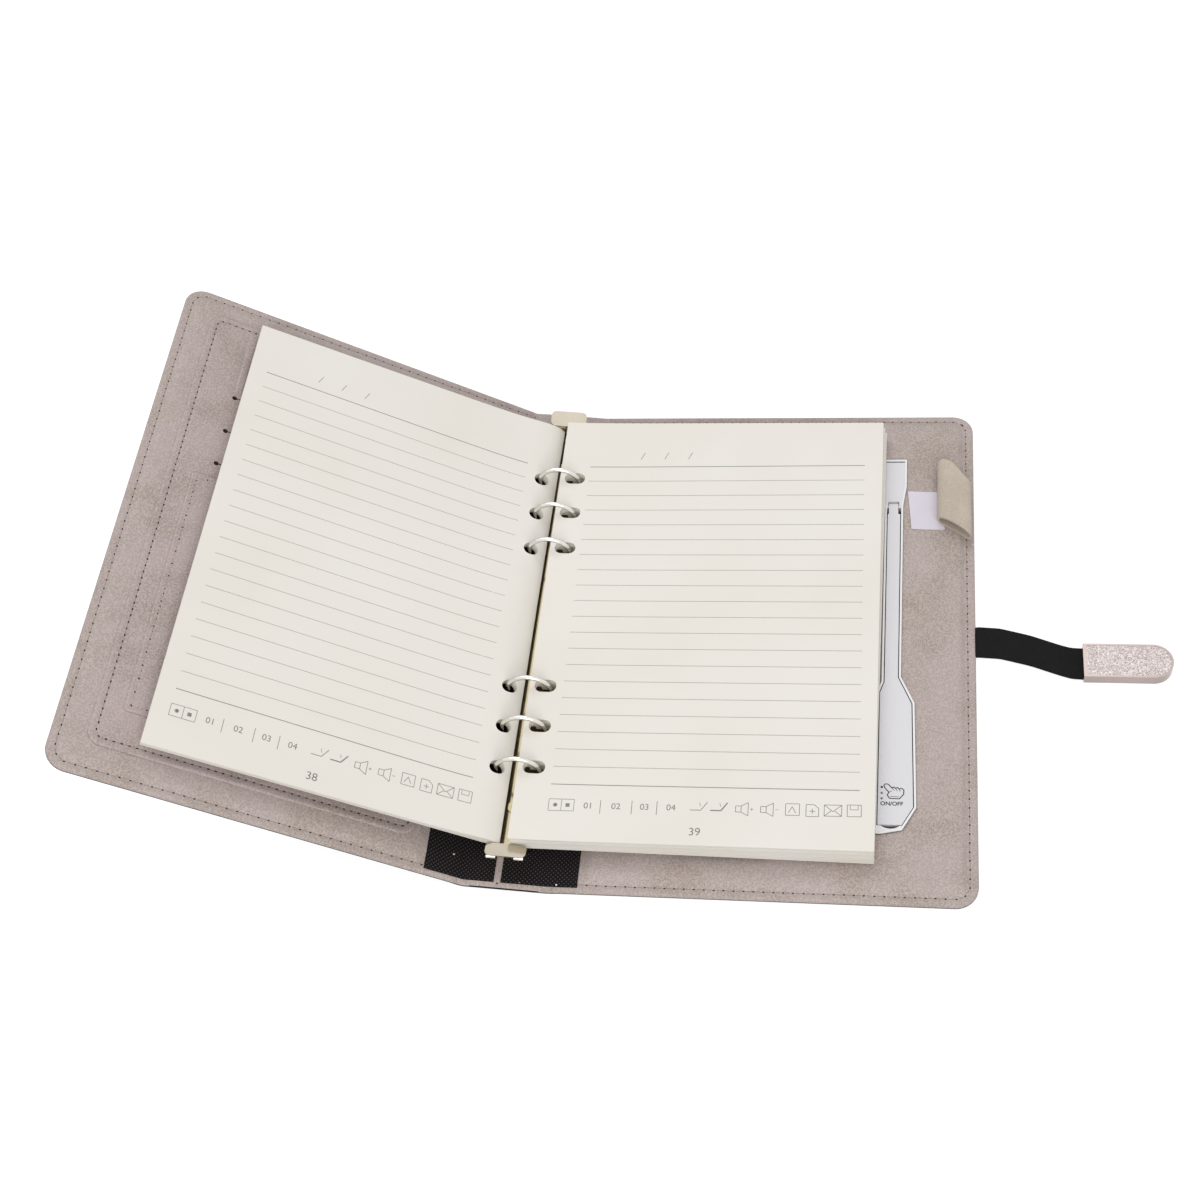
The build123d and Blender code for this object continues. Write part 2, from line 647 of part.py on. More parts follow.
def charging_sockets():
    """Two charging sockets, each a shell with a tongue inside."""
    solids = []
    depth = PORT_SIZE[1]
    for x in PORTS_X:
        opening = extrude(RectangleRounded(*PORT_MOUTH, 1.2), 1.0 - depth)
        mouth = Pos(x, -CASE_HALF, PORT_Z) * Rot(90, 0, 0) * opening
        tongue_y = (-CASE_HALF + 1.2, -CASE_HALF + depth - 1.0)
        tongue_x = (x - TONGUE_HALF, x + TONGUE_HALF)
        tongue = block(tongue_x, tongue_y, (PORT_Z - 0.35, PORT_Z + 0.35))
        solids.append(port_solid(x) - mouth + tongue)
    return solids


def power_button():
    """The push button with the flange that keeps it under the case's roof."""
    flange_z = CASE_TOP - CASE_SKIN - 0.2
    cap = disc(BUTTON_X, BUTTON_Y, BUTTON_R, flange_z, CASE_TOP + 0.3)
    return cap + disc(BUTTON_X, BUTTON_Y, BUTTON_R + 0.8, flange_z - BUTTON_TRAVEL, flange_z)


def lamp_outline():
    """The lamp's outline in plan: the tray's inside, less a gap all round."""
    return drawn_in(TRAY_OUTLINE, TRAY_RIM + LAMP_GAP)


def lamp_tray():
    """The tray with its raised rim, and a solid lip with a scooped edge below the lamp's end."""
    inside = drawn_in(TRAY_OUTLINE, TRAY_RIM)
    hollow = slab(inside, TRAY_FLOOR, CASE_TOP)
    lip = hollow & block(LAMP_ZONE_X, (-HEIGHT / 2, LAMP_END_Y - LAMP_GAP), (0, LAMP_TOP))
    lip -= disc(*LIP_SCOOP_AT, LIP_SCOOP_R, 0, CASE_TOP)
    return slab(outline_of(TRAY_OUTLINE), SKIN, CASE_TOP) - (hollow - lip)


def lamp_head_block():
    """The fixed block above the lamp, with two horns that hold the hinge pin."""
    inside = drawn_in(TRAY_OUTLINE, TRAY_RIM)
    head = slab(inside, TRAY_FLOOR, LAMP_TOP) & block(LAMP_ZONE_X, HEAD_BLOCK_Y, LAMP_ZONE_Z)
    between = (LAMP_ARM_X[0] - HORN_CLEAR, LAMP_ARM_X[1] + HORN_CLEAR)
    head -= block(between, (LAMP_NECK_Y, HORN_DEPTH_Y), LAMP_ZONE_Z)
    return head - lamp_pin(LAMP_PIN_R)


def lamp_pin(radius):
    """The pin that the lamp turns on."""
    return rod_along_x((45.3, 51.4), LAMP_PIN_Y, LAMP_PIN_Z, radius)


def lamp_pieces():
    """The two shells of the lamp with its light board, diffuser and touch pad."""
    half = (LAMP_TOP - LAMP_BOTTOM) / 2
    body = slab(lamp_outline(), LAMP_BOTTOM, LAMP_TOP)
    body &= block(LAMP_ZONE_X, (LAMP_END_Y, LAMP_NECK_Y), LAMP_ZONE_Z)
    arm_middle = (LAMP_ARM_X[0] + LAMP_ARM_X[1]) / 2
    neck_width = LAMP_ARM_X[1] - LAMP_ARM_X[0]
    neck = block(LAMP_ARM_X, (LAMP_NECK_Y - 1, LAMP_PIN_Y), (LAMP_BOTTOM, LAMP_TOP))
    barrel = rod_along_x(LAMP_ARM_X, LAMP_PIN_Y, LAMP_PIN_Z, half)
    keep = Pos(arm_middle, LAMP_PIN_Y + half - 10) * RectangleRounded(neck_width, 20, 1.2)
    body += (neck + barrel) & slab(keep, *LAMP_ZONE_Z)
    panel = (LAMP_PANEL_X, LAMP_PANEL_Y)
    window = block(*drawn_spans(panel, 1.0), (LAMP_BOTTOM, LAMP_CAVITY_Z[0]))
    cavity = block(*panel, LAMP_CAVITY_Z)
    lower_zone = block(LAMP_ZONE_X, (-HEIGHT / 2, LAMP_NECK_Y - 0.6), (0, LAMP_SPLIT))
    lower = (body & lower_zone) - window - cavity
    upper = body - lower_zone - cavity - lamp_pin(LAMP_BORE_R)
    light_board = block(*drawn_spans(panel, 0.3), (LAMP_CAVITY_Z[0], LAMP_CAVITY_Z[0] + LIGHT_BOARD_THICK))
    touch_pad = block(TOUCH_PAD_X, TOUCH_PAD_Y, (LAMP_CAVITY_Z[1] - TOUCH_PAD_THICK, LAMP_CAVITY_Z[1]))
    return upper, lower, light_board, window, touch_pad


def drawn_spans(spans, amount):
    """Two spans, each drawn in by an amount at both ends."""
    return [(low + amount, high - amount) for low, high in spans]


def pen_loop():
    """A flattened tube of wide elastic with slanted ends, on a base strip."""
    middle_x = (LOOP_X[0] + LOOP_X[1]) / 2
    middle_z = (LOOP_Z[0] + LOOP_Z[1]) / 2
    width = LOOP_X[1] - LOOP_X[0]
    height = LOOP_Z[1] - LOOP_Z[0]
    place = Pos(middle_x, 100, middle_z) * Rot(90, 0, 0)
    outer = place * extrude(RectangleRounded(width, height, height / 2 - 0.1), 60)
    inner_height = height - 2 * LOOP_WALL
    inner = place * extrude(RectangleRounded(width - 2 * LOOP_WALL, inner_height, inner_height / 2 - 0.1), 60)
    tube = (outer - inner) & slab(outline_of(LOOP_OUTLINE), 0, 20)
    return tube + block(LOOP_BASE_X, LOOP_BASE_Y, (BACK_TOP, LOOP_Z[0] + 0.3))


def strap_middle_piece():
    """The strap's run between its two folds, a little curved in plan."""
    above = [(x, y + STRAP_HALF) for x, y in STRAP_PATH]
    below = [(x, y - STRAP_HALF) for x, y in reversed(STRAP_PATH)]
    return slab(outline_of(above + below), STRAP_TOP - STRAP_THICK, STRAP_TOP)


def strap_root_piece():
    """The strap's root, thin where it is sewn between skin and lining."""
    span = strap_root_span()
    sewn = block((STRAP_ROOT_X[0], COVER / 2 + 0.3), span, (SKIN, SKIN + STRAP_SEWN_THICK))
    return sewn + block((COVER / 2 + 0.1, STRAP_ROOT_X[1]), span, (STRAP_TOP - STRAP_THICK, STRAP_TOP))


def strap_end_piece():
    """The strap's end, whose last stretch is inside the clasp."""
    start = CLASP_FOLD_X + 0.05
    outline = [
        (start, STRAP_END_Y + STRAP_HALF),
        (STRAP_END_X, CLASP_Y + STRAP_HALF),
        (STRAP_END_X, CLASP_Y - STRAP_HALF),
        (start, STRAP_END_Y - STRAP_HALF),
    ]
    return slab(outline_of(outline), STRAP_TOP - STRAP_THICK, STRAP_TOP)


def clasp_outline(inset_left, inset):
    """The clasp's outline: a straight end at the strap and a round far end."""
    half = CLASP_HALF - inset
    left = CLASP_X[0] + inset_left
    right = CLASP_X[1] - inset
    flat = Pos((left + right - half) / 2, CLASP_Y) * Rectangle(right - half - left, 2 * half)
    return flat + Pos(right - half, CLASP_Y) * Circle(half)


def clasp_pieces():
    """The clasp's shell, inlay plate, two screws and magnet."""
    floor = CLASP_TOP - INLAY_DEPTH
    plate = slab(clasp_outline(INLAY_BAR, INLAY_RIM), floor, CLASP_TOP - 0.1)
    recess = slab(clasp_outline(INLAY_BAR, INLAY_RIM), floor, CLASP_TOP)
    magnet = disc(CLASP_MAGNET_X, CLASP_Y, 5.0, 1.4, 3.4)
    shell = slab(clasp_outline(0, 0), 0, CLASP_TOP)
    shell = fillet(shell.edges().group_by(Axis.Z)[0], 0.5) - recess - magnet - strap_end_piece()
    screws = []
    for side in (-1, 1):
        screw_y = CLASP_Y + side * CLASP_SCREW_APART / 2
        shank = disc(CLASP_SCREW_X, screw_y, 0.6, STRAP_TOP + 0.3, floor)
        head = disc(CLASP_SCREW_X, screw_y, 1.1, floor, CLASP_TOP + 0.1)
        screws.append(shank + head)
        shell -= shank
        plate -= head
    return shell, plate, screws, magnet


def write(name, part, fold=None):
    """Folds a part into place and writes it to its file."""
    solids = part if isinstance(part, list) else [part]
    placed = [fold(solid) if fold else solid for solid in solids]
    pieces = [piece for solid in placed for piece in solid.solids()]
    shape = pieces[0] if len(pieces) == 1 else Compound(pieces)
    export_step(shape, f"parts/{name}.step")


def build():
    """Builds and writes every piece."""
    os.makedirs("parts", exist_ok=True)

    skin, board, lining = cover_layers(BACK_FOLD_X, COVER / 2, BACK_BARE, BACK_BOARD_TOP, BACK_TOP)
    write("back_cover_skin", skin)
    write("back_cover_board", board)
    write("back_cover_lining", lining)

    lower, upper, cell, circuit, screws, lights = power_bank()
    write("power_bank_lower_case", lower)
    write("power_bank_upper_case", upper)
    write("battery_cell", cell)
    write("circuit_board", circuit)
    write("case_screws", screws)
    write("charge_lights", lights)
    write("usb_c_sockets", charging_sockets())
    write("power_button", power_button())

    write("lamp_tray", lamp_tray())
    write("lamp_head_block", lamp_head_block())
    write("lamp_hinge_pin", lamp_pin(LAMP_PIN_R))
    upper_shell, lower_shell, light_board, diffuser, touch_pad = lamp_pieces()
    write("lamp_upper_shell", upper_shell)
    write("lamp_lower_shell", lower_shell)
    write("lamp_light_board", light_board)
    write("lamp_diffuser", diffuser)
    write("lamp_touch_pad", touch_pad)

    write("pen_loop", pen_loop())
    write("blank_tag", slab(outline_of(TAG_OUTLINE), BACK_TOP, BACK_TOP + TAG_THICK))
    write("strap_root", strap_root_piece())
    write("strap_middle", strap_middle_piece())
    write("strap_end", strap_end_piece())
    shell, plate, clasp_screws, magnet = clasp_pieces()
    write("clasp_shell", shell)
    write("clasp_inlay_plate", plate)
    write("clasp_screws", clasp_screws)
    write("clasp_magnet", magnet)

    skin, board, lining = spine_layers()
    for hole in rivet_holes():
        lining -= hole
    write("spine_skin", skin, fold_spine)
    write("spine_board", board, fold_spine)
    write("spine_lining", lining, fold_spine)
    write("back_hinge_skin", hinge_skin(BACK_FOLD_X, SPINE_REST))
    write("front_hinge_skin", hinge_skin(FRONT_FOLD_X, FRONT_REST), fold_spine)
    right_strip = hinge_strip(BACK_FOLD_X, RIGHT_STRIP_U, RIGHT_STRIP_REACH, SPINE_REST)
    for hole in rivet_holes():
        right_strip -= fold_spine(hole)
    write("right_hinge_strip", right_strip)
    left_run = SPINE - LEFT_STRIP_U
    left_strip = hinge_strip(FRONT_FOLD_X, LEFT_STRIP_REACH, left_run, FRONT_REST)
    write("left_hinge_strip", left_strip, fold_spine)
    write("ring_arch_plate", arch_plate(), fold_spine)
    write("ring_rivets", rivets(), fold_spine)
    write("lever_pins", [lever_pin(side, LEVER_PIN_R) for side in (1, -1)], fold_spine)
    for side, name in ((1, "right"), (-1, "left")):
        write(f"{name}_ring_rail", ring_rail(side), fold_spine)
        write(f"{name}_ring_halves", half_rings(side), fold_spine)
    write("upper_ring_lever", ring_lever(1), fold_spine)
    write("lower_ring_lever", ring_lever(-1), fold_spine)

    skin, board, lining = cover_layers(FRONT_FOLD_X, FREE_EDGE_X, FRONT_BARE, FRONT_BOARD_TOP, FRONT_TOP)
    magnet = disc(MAGNET_X, MAGNET_Y, 6.0, 0.9, 2.1)
    write("front_cover_skin", skin, fold_front)
    write("front_cover_board", board - magnet, fold_front)
    write("front_cover_lining", lining, fold_front)
    write("closure_magnet", magnet, fold_front)
    write("large_pocket_panel", large_pocket(), fold_front)
    write("small_pocket_panel", small_pocket(), fold_front)

    write("left_pages", left_sheets())
    write("right_pages_upper", right_bundle(((13.0, 15.6), (12.2, 15.6)), 16.0, -96.64, 43.56))
    write("right_pages_middle", right_bundle(((10.65, 12.85), (8.85, 12.05)), 15.5, -95.94, 43.7))
    write("right_pages_lower", right_bundle(((8.6, 10.5), (5.3, 8.7)), 15.0, -93.5, 43.8))


build()
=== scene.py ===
# %% [markdown]
# # A ring notebook with a power bank and a lamp
#
# The notebook lies open. Its metal and plastic parts come from the CAD model, which is loaded as a fixed
# frame. The soft parts, such as the leather covers, the pockets, the strap and the paper, are made again
# here as finer surfaces. Most new pieces ride on a CAD body, so that they move when the notebook folds;
# the sheets over the folds, the tapes over them and the strap stay fixed in their open shape.

# %% The frame
import json
from math import cos, pi, radians, sin

import bpy
import numpy as np
from mathutils import Euler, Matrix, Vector, geometry


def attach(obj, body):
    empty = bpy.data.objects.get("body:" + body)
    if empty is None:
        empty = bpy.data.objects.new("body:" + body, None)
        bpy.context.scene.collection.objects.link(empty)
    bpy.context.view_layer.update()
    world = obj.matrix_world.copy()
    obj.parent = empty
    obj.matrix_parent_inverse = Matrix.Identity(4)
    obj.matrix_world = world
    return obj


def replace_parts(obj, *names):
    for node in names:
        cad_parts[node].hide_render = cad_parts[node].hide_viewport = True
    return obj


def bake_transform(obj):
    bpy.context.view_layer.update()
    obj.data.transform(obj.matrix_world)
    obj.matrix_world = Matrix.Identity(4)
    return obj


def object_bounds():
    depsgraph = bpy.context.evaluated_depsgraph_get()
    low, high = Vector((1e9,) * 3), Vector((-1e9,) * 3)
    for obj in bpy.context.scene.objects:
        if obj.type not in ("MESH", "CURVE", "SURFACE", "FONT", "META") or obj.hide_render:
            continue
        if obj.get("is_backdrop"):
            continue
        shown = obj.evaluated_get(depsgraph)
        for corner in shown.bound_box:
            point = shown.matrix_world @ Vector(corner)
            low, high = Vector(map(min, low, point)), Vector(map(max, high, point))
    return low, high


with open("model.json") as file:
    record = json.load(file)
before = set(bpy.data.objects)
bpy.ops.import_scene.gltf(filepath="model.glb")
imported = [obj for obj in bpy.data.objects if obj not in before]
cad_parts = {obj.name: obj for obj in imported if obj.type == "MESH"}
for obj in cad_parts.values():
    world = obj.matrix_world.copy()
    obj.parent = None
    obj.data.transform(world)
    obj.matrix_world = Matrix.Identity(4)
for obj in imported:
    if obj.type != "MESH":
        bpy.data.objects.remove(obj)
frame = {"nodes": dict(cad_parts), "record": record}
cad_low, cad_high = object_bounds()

scene = bpy.context.scene
chance = np.random.default_rng(12)


# %% [markdown]
# ## Camera and light
#
# The camera stands where the photographer stood: above the near edge of the book and a little to the
# right, looking down. One wide soft lamp hangs behind the book and one in front of it, above the viewer.
# The floor is pale for the eye of the camera, and it keeps a faint shadow under the book.

# %% Camera
camera = bpy.data.objects.new("camera", bpy.data.cameras.new("camera"))
camera.data.lens = 55.654
camera.data.sensor_width = 36.0
camera.location = (0.05387, -0.43107, 0.64436)
camera.rotation_euler = Euler((radians(35.379), radians(7.234), radians(5.967)))
scene.collection.objects.link(camera)
scene.camera = camera
scene.view_settings.view_transform = "Standard"


# %% Colours and node helpers
def colour(red, green, blue):
    """A colour given as 0 to 255 on a screen, as the linear values that shaders use."""
    values = np.array([red, green, blue]) / 255
    return (*(((values + 0.055) / 1.055) ** 2.4).tolist(), 1.0)


def new_group(name, inputs, outputs):
    """An empty shader group with named sockets. Each input is a name, a kind of socket and a start value."""
    group = bpy.data.node_groups.new(name, "ShaderNodeTree")
    for label, kind, value in inputs:
        socket = group.interface.new_socket(label, in_out="INPUT", socket_type=kind)
        if value is not None:
            socket.default_value = value
    for label, kind in outputs:
        group.interface.new_socket(label, in_out="OUTPUT", socket_type=kind)
    return group, group.nodes.new("NodeGroupInput"), group.nodes.new("NodeGroupOutput")


class Board:
    """A node tree to wire up: node() adds a node, sets its values and links what is given to its sockets."""

    def __init__(self, tree):
        self.tree = tree

    def node(self, kind, values=None, **links):
        made = self.tree.nodes.new(kind)
        for key, value in (values or {}).items():
            if hasattr(made, key):
                setattr(made, key, value)
            else:
                made.inputs[key].default_value = value
        for key, source in links.items():
            self.tree.links.new(source, made.inputs[key.replace("_", " ")])
        return made

    def math(self, operation, first, second=None):
        made = self.tree.nodes.new("ShaderNodeMath")
        made.operation = operation
        for place, value in enumerate((first, second)):
            if isinstance(value, (int, float)):
                made.inputs[place].default_value = value
            elif value is not None:
                self.tree.links.new(value, made.inputs[place])
        return made.outputs[0]

    def mix(self, amount, first, second):
        made = self.tree.nodes.new("ShaderNodeMix")
        made.data_type = "RGBA"
        for place, value in ((0, amount), (6, first), (7, second)):
            if isinstance(value, (int, float, tuple)):
                made.inputs[place].default_value = value
            else:
                self.tree.links.new(value, made.inputs[place])
        return made.outputs[2]

    def spread(self, value, low, high, to_low=0.0, to_high=1.0):
        made = self.tree.nodes.new("ShaderNodeMapRange")
        self.tree.links.new(value, made.inputs[0])
        for place, number in enumerate((low, high, to_low, to_high), 1):
            made.inputs[place].default_value = number
        return made.outputs[0]


def new_material(name):
    """A material with its shader and a board to wire it on."""
    material = bpy.data.materials.new(name)
    material.use_nodes = True
    shader = material.node_tree.nodes["Principled BSDF"]
    return material, shader, Board(material.node_tree)


def use_group(board, group, **values):
    """Puts a shader group on a board and sets its inputs."""
    made = board.tree.nodes.new("ShaderNodeGroup")
    made.node_tree = group
    for key, value in values.items():
        made.inputs[key.replace("_", " ")].default_value = value
    return made


def bump(board, shader, height, strength, distance):
    """Roughens a shader's surface by a height."""
    made = board.node("ShaderNodeBump", {"Strength": strength, "Distance": distance}, Height=height)
    board.tree.links.new(made.outputs[0], shader.inputs["Normal"])


def shaded(board, shader, tone, **values):
    """Links a colour to a shader and sets its plain numbers, such as Roughness."""
    board.tree.links.new(tone, shader.inputs["Base Color"])
    for key, value in values.items():
        shader.inputs[key.replace("_", " ")].default_value = value


# %% Floor, lamp and surroundings
FLOOR_DROP = -0.0003
FLOOR_GLOW = 0.78
ROOM_LIGHT = 0.53


def seen_directly(board):
    """1 for what the camera sees straight, mirrored or through glass, and 0 for light that falls on
    things."""
    rays = board.node("ShaderNodeLightPath")
    seen = board.math("MAXIMUM", rays.outputs["Is Camera Ray"], rays.outputs["Is Glossy Ray"])
    return board.math("MAXIMUM", seen, rays.outputs["Is Transmission Ray"])


floor_material, floor_shader, board = new_material("floor")
floor_shader.inputs["Base Color"].default_value = (0.45, 0.45, 0.45, 1)
floor_shader.inputs["Roughness"].default_value = 1.0
floor_shader.inputs["Specular IOR Level"].default_value = 0.0
strength = board.math("MULTIPLY", seen_directly(board), FLOOR_GLOW)
glow = board.node("ShaderNodeEmission", {"Color": (1, 1, 1, 1)}, Strength=strength)
both = board.tree.nodes.new("ShaderNodeAddShader")
board.tree.links.new(floor_shader.outputs[0], both.inputs[0])
board.tree.links.new(glow.outputs[0], both.inputs[1])
board.tree.links.new(both.outputs[0], board.tree.nodes["Material Output"].inputs[0])
floor_mesh = bpy.data.meshes.new("floor")
corners = [(x, y, FLOOR_DROP) for x, y in ((-6, -6), (6, -6), (6, 6), (-6, 6))]
floor_mesh.from_pydata(corners, [], [(0, 1, 2, 3)])
floor_mesh.materials.append(floor_material)
floor = bpy.data.objects.new("floor", floor_mesh)
scene.collection.objects.link(floor)
floor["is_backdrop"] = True


def soft_lamp(name, place, aim, width, height, watts):
    """A rectangular lamp that shines from one place to another."""
    lamp = bpy.data.objects.new(name, bpy.data.lights.new(name, "AREA"))
    lamp.data.shape = "RECTANGLE"
    lamp.data.size = width
    lamp.data.size_y = height
    lamp.data.energy = watts
    lamp.location = place
    lamp.rotation_euler = (Vector(aim) - Vector(place)).to_track_quat("-Z", "Y").to_euler()
    scene.collection.objects.link(lamp)


soft_lamp("back_lamp", (-0.35, 0.75, 1.5), (-0.05, 0, 0), 1.5, 1.1, 7.7)
soft_lamp("front_lamp", (0.35, -1.5, 1.15), (-0.05, 0, 0), 1.6, 1.0, 16.5)
world = bpy.data.worlds.new("studio")
scene.world = world
world.use_nodes = True
board = Board(world.node_tree)
back = world.node_tree.nodes["Background"]
back.inputs["Color"].default_value = (1, 1, 1, 1)
level = board.spread(seen_directly(board), 0, 1, ROOM_LIGHT, 1.0)
world.node_tree.links.new(level, back.inputs["Strength"])


# %% [markdown]
# ## Shapes as arrays
#
# All sizes are written in millimetres in the plan of the notebook lying flat. A shape is worked out there
# as whole arrays of points, and then folded up with the spine and the front cover, as the real book was
# sewn flat and opened later.

# %% Folding
MM = 0.001
BACK_FOLD = (-82.5, 2.0)
FRONT_FOLD = (-114.5, 2.0)
BACK_EDGE = 82.5
FREE_EDGE = -279.5
SPINE_REST = 6.6
FRONT_REST = 24.8
HALF_HEIGHT = 120.0


def turn_about(points, fold, degrees):
    """Points turned about a line along Y through fold = (x, z).
    x' = fold x + a cos t + b sin t and z' = fold z - a sin t + b cos t, with a and b measured from it."""
    turn = radians(degrees)
    across = points[:, 0] - fold[0]
    above = points[:, 2] - fold[1]
    turned = points.copy()
    turned[:, 0] = fold[0] + across * cos(turn) + above * sin(turn)
    turned[:, 2] = fold[1] - across * sin(turn) + above * cos(turn)
    return turned


def on_back(points):
    """The back cover lies flat, so its points stay."""
    return points


def on_spine(points):
    """Folds points up with the spine."""
    return turn_about(points, BACK_FOLD, SPINE_REST)


def on_front(points):
    """Folds points up with the front cover, and then with the spine."""
    return on_spine(turn_about(points, FRONT_FOLD, FRONT_REST))


def smooth(value, low=0.0, high=1.0):
    """A step from 0 to 1 with soft ends: 3 t^2 - 2 t^3."""
    share = np.clip((value - low) / (high - low), 0, 1)
    return share * share * (3 - 2 * share)


def bent_over(points, right_side, left_side, fold, reach):
    """Points that follow one side right of a fold and the other side left of it, with a soft bend between."""
    share = smooth(fold[0] + reach - points[:, 0], 0, 2 * reach)[:, None]
    return (1 - share) * right_side(points) + share * left_side(points)


# %% Outlines
def rounded_loop(corners, radii, spacing=None):
    """A closed outline through corners, each rounded by its radius.
    At a corner whose sides turn by an angle, both sides are cut short by radius * tan(angle / 2)."""
    corners = np.array(corners, float)
    radii = np.broadcast_to(np.array(radii, float), len(corners))
    before = corners - np.roll(corners, 1, axis=0)
    after = np.roll(corners, -1, axis=0) - corners
    before /= np.linalg.norm(before, axis=1)[:, None]
    after /= np.linalg.norm(after, axis=1)[:, None]
    side = before[:, 0] * after[:, 1] - before[:, 1] * after[:, 0]
    angle = np.arctan2(side, (before * after).sum(1))
    pieces = []
    for corner, radius, way, turn in zip(corners, radii, before, angle):
        count = max(1, int(abs(turn) * radius / 0.7) + 2) if radius > 0.2 else 1
        sweep = np.linspace(0, turn, count)[:, None] if count > 1 else np.zeros((1, 1))
        if count == 1:
            pieces.append(corner[None])
            continue
        left = np.array([-way[1], way[0]]) * np.sign(turn)
        start = corner - way * radius * np.tan(abs(turn) / 2)
        pieces.append(start + radius * (np.sin(np.abs(sweep)) * way + (1 - np.cos(np.abs(sweep))) * left))
    loop = np.concatenate(pieces)
    return loop if spacing is None else divided(loop, spacing, True)


def divided(path, spacing, closed=False):
    """A path with points added, so that no two neighbours are further apart than the spacing."""
    ends = np.roll(path, -1, axis=0) if closed else path[1:]
    starts = path if closed else path[:-1]
    runs = []
    for start, end in zip(starts, ends):
        count = max(1, int(np.ceil(np.linalg.norm(end - start) / spacing)))
        runs.append(start + (end - start) * (np.arange(count) / count)[:, None])
    if not closed:
        runs.append(path[-1:])
    return np.concatenate(runs)


def even_steps(path, step, closed=False):
    """Points at even steps along a path, with the path's direction at each."""
    if closed:
        path = np.concatenate([path, path[:1]])
    lengths = np.r_[0, np.cumsum(np.linalg.norm(np.diff(path, axis=0), axis=1))]
    count = max(2, int(round(lengths[-1] / step)) + (0 if closed else 1))
    places = np.linspace(0, lengths[-1], count, endpoint=not closed)
    points = np.stack([np.interp(places, lengths, path[:, k]) for k in range(path.shape[1])], axis=1)
    further = np.minimum(places + 0.3, lengths[-1])
    nearer = np.maximum(places - 0.3, 0)
    ahead, behind = (
        np.stack([np.interp(where, lengths, path[:, k]) for k in (0, 1)], axis=1)
        for where in (further, nearer)
    )
    way = ahead - behind
    return points, way / np.linalg.norm(way, axis=1)[:, None]


def inside(points, loop):
    """Whether points lie inside a closed loop: a ray to the right crosses the loop an odd number of times."""
    start = loop
    end = np.roll(loop, -1, axis=0)
    tall = np.where(end[:, 1] == start[:, 1], 1e-9, end[:, 1] - start[:, 1])
    spans = (start[:, 1] > points[:, 1:2]) != (end[:, 1] > points[:, 1:2])
    crossing = start[:, 0] + (points[:, 1:2] - start[:, 1]) * (end[:, 0] - start[:, 0]) / tall
    return (spans & (points[:, 0:1] < crossing)).sum(1) % 2 == 1


def edge_distance(points, loop):
    """Each point's distance to a loop.
    The foot on a side from a to b is a + t (b - a), for t = (p - a).(b - a) / |b - a|^2 kept from 0 to 1."""
    side = np.roll(loop, -1, axis=0) - loop
    away = points[:, None, :] - loop
    along = np.clip((away * side).sum(2) / (side ** 2).sum(1), 0, 1)
    return np.sqrt(((away - along[..., None] * side) ** 2).sum(2)).min(1)


def panel_corners(fold_x, free_x, inset=0.0, fold_inset=0.1):
    """A cover's four corners, counter-clockwise, and their radii: round at the free edge."""
    toward = 1 if free_x > fold_x else -1
    near = fold_x + toward * fold_inset
    far = free_x - toward * inset
    half = HALF_HEIGHT - inset
    round_corner = 9.0 - min(inset, 4.5)
    corners = [(near, -half), (far, -half), (far, half), (near, half)]
    radii = [0, round_corner, round_corner, 0]
    return (corners, radii) if toward > 0 else (corners[::-1], radii[::-1])


# %% Making meshes
def new_piece(name, points, faces, body=None, material=None, plan=None, crease=35, extra=None):
    """A mesh from points in millimetres and faces, facing outwards, smooth up to a crease angle.
    Outwards means a positive volume: the sum over triangles of a . (b x c) / 6."""
    mesh = bpy.data.meshes.new(name)
    corner_lists = [face for group in faces for face in np.asarray(group).tolist()]
    mesh.from_pydata((points * MM).tolist(), [], corner_lists)
    mesh.calc_loop_triangles()
    corners = np.zeros(len(mesh.loop_triangles) * 3, np.int32)
    mesh.loop_triangles.foreach_get("vertices", corners)
    first, second, third = (points[corners.reshape(-1, 3)[:, k]] for k in range(3))
    volume = (first * np.cross(second, third)).sum() / 6
    if volume < 0:
        mesh.flip_normals()
    mesh.polygons.foreach_set("use_smooth", np.ones(len(mesh.polygons), bool))
    mesh.set_sharp_from_angle(angle=radians(crease))
    if plan is not None:
        layer = mesh.uv_layers.new(name="plan")
        loops = np.zeros(len(mesh.loops), np.int32)
        mesh.loops.foreach_get("vertex_index", loops)
        layer.data.foreach_set("uv", (plan[loops] / 100).astype(np.float32).ravel())
    for label, values in (extra or {}).items():
        attribute = mesh.attributes.new(label, "FLOAT", "POINT")
        attribute.data.foreach_set("value", values.astype(np.float32))
    if material is not None:
        mesh.materials.append(material)
    made = bpy.data.objects.new(name, mesh)
    scene.collection.objects.link(made)
    if body:
        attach(made, body)
    print(name, "faces", len(mesh.polygons), "volume cm3", round(abs(volume) / 1000, 2))
    return made


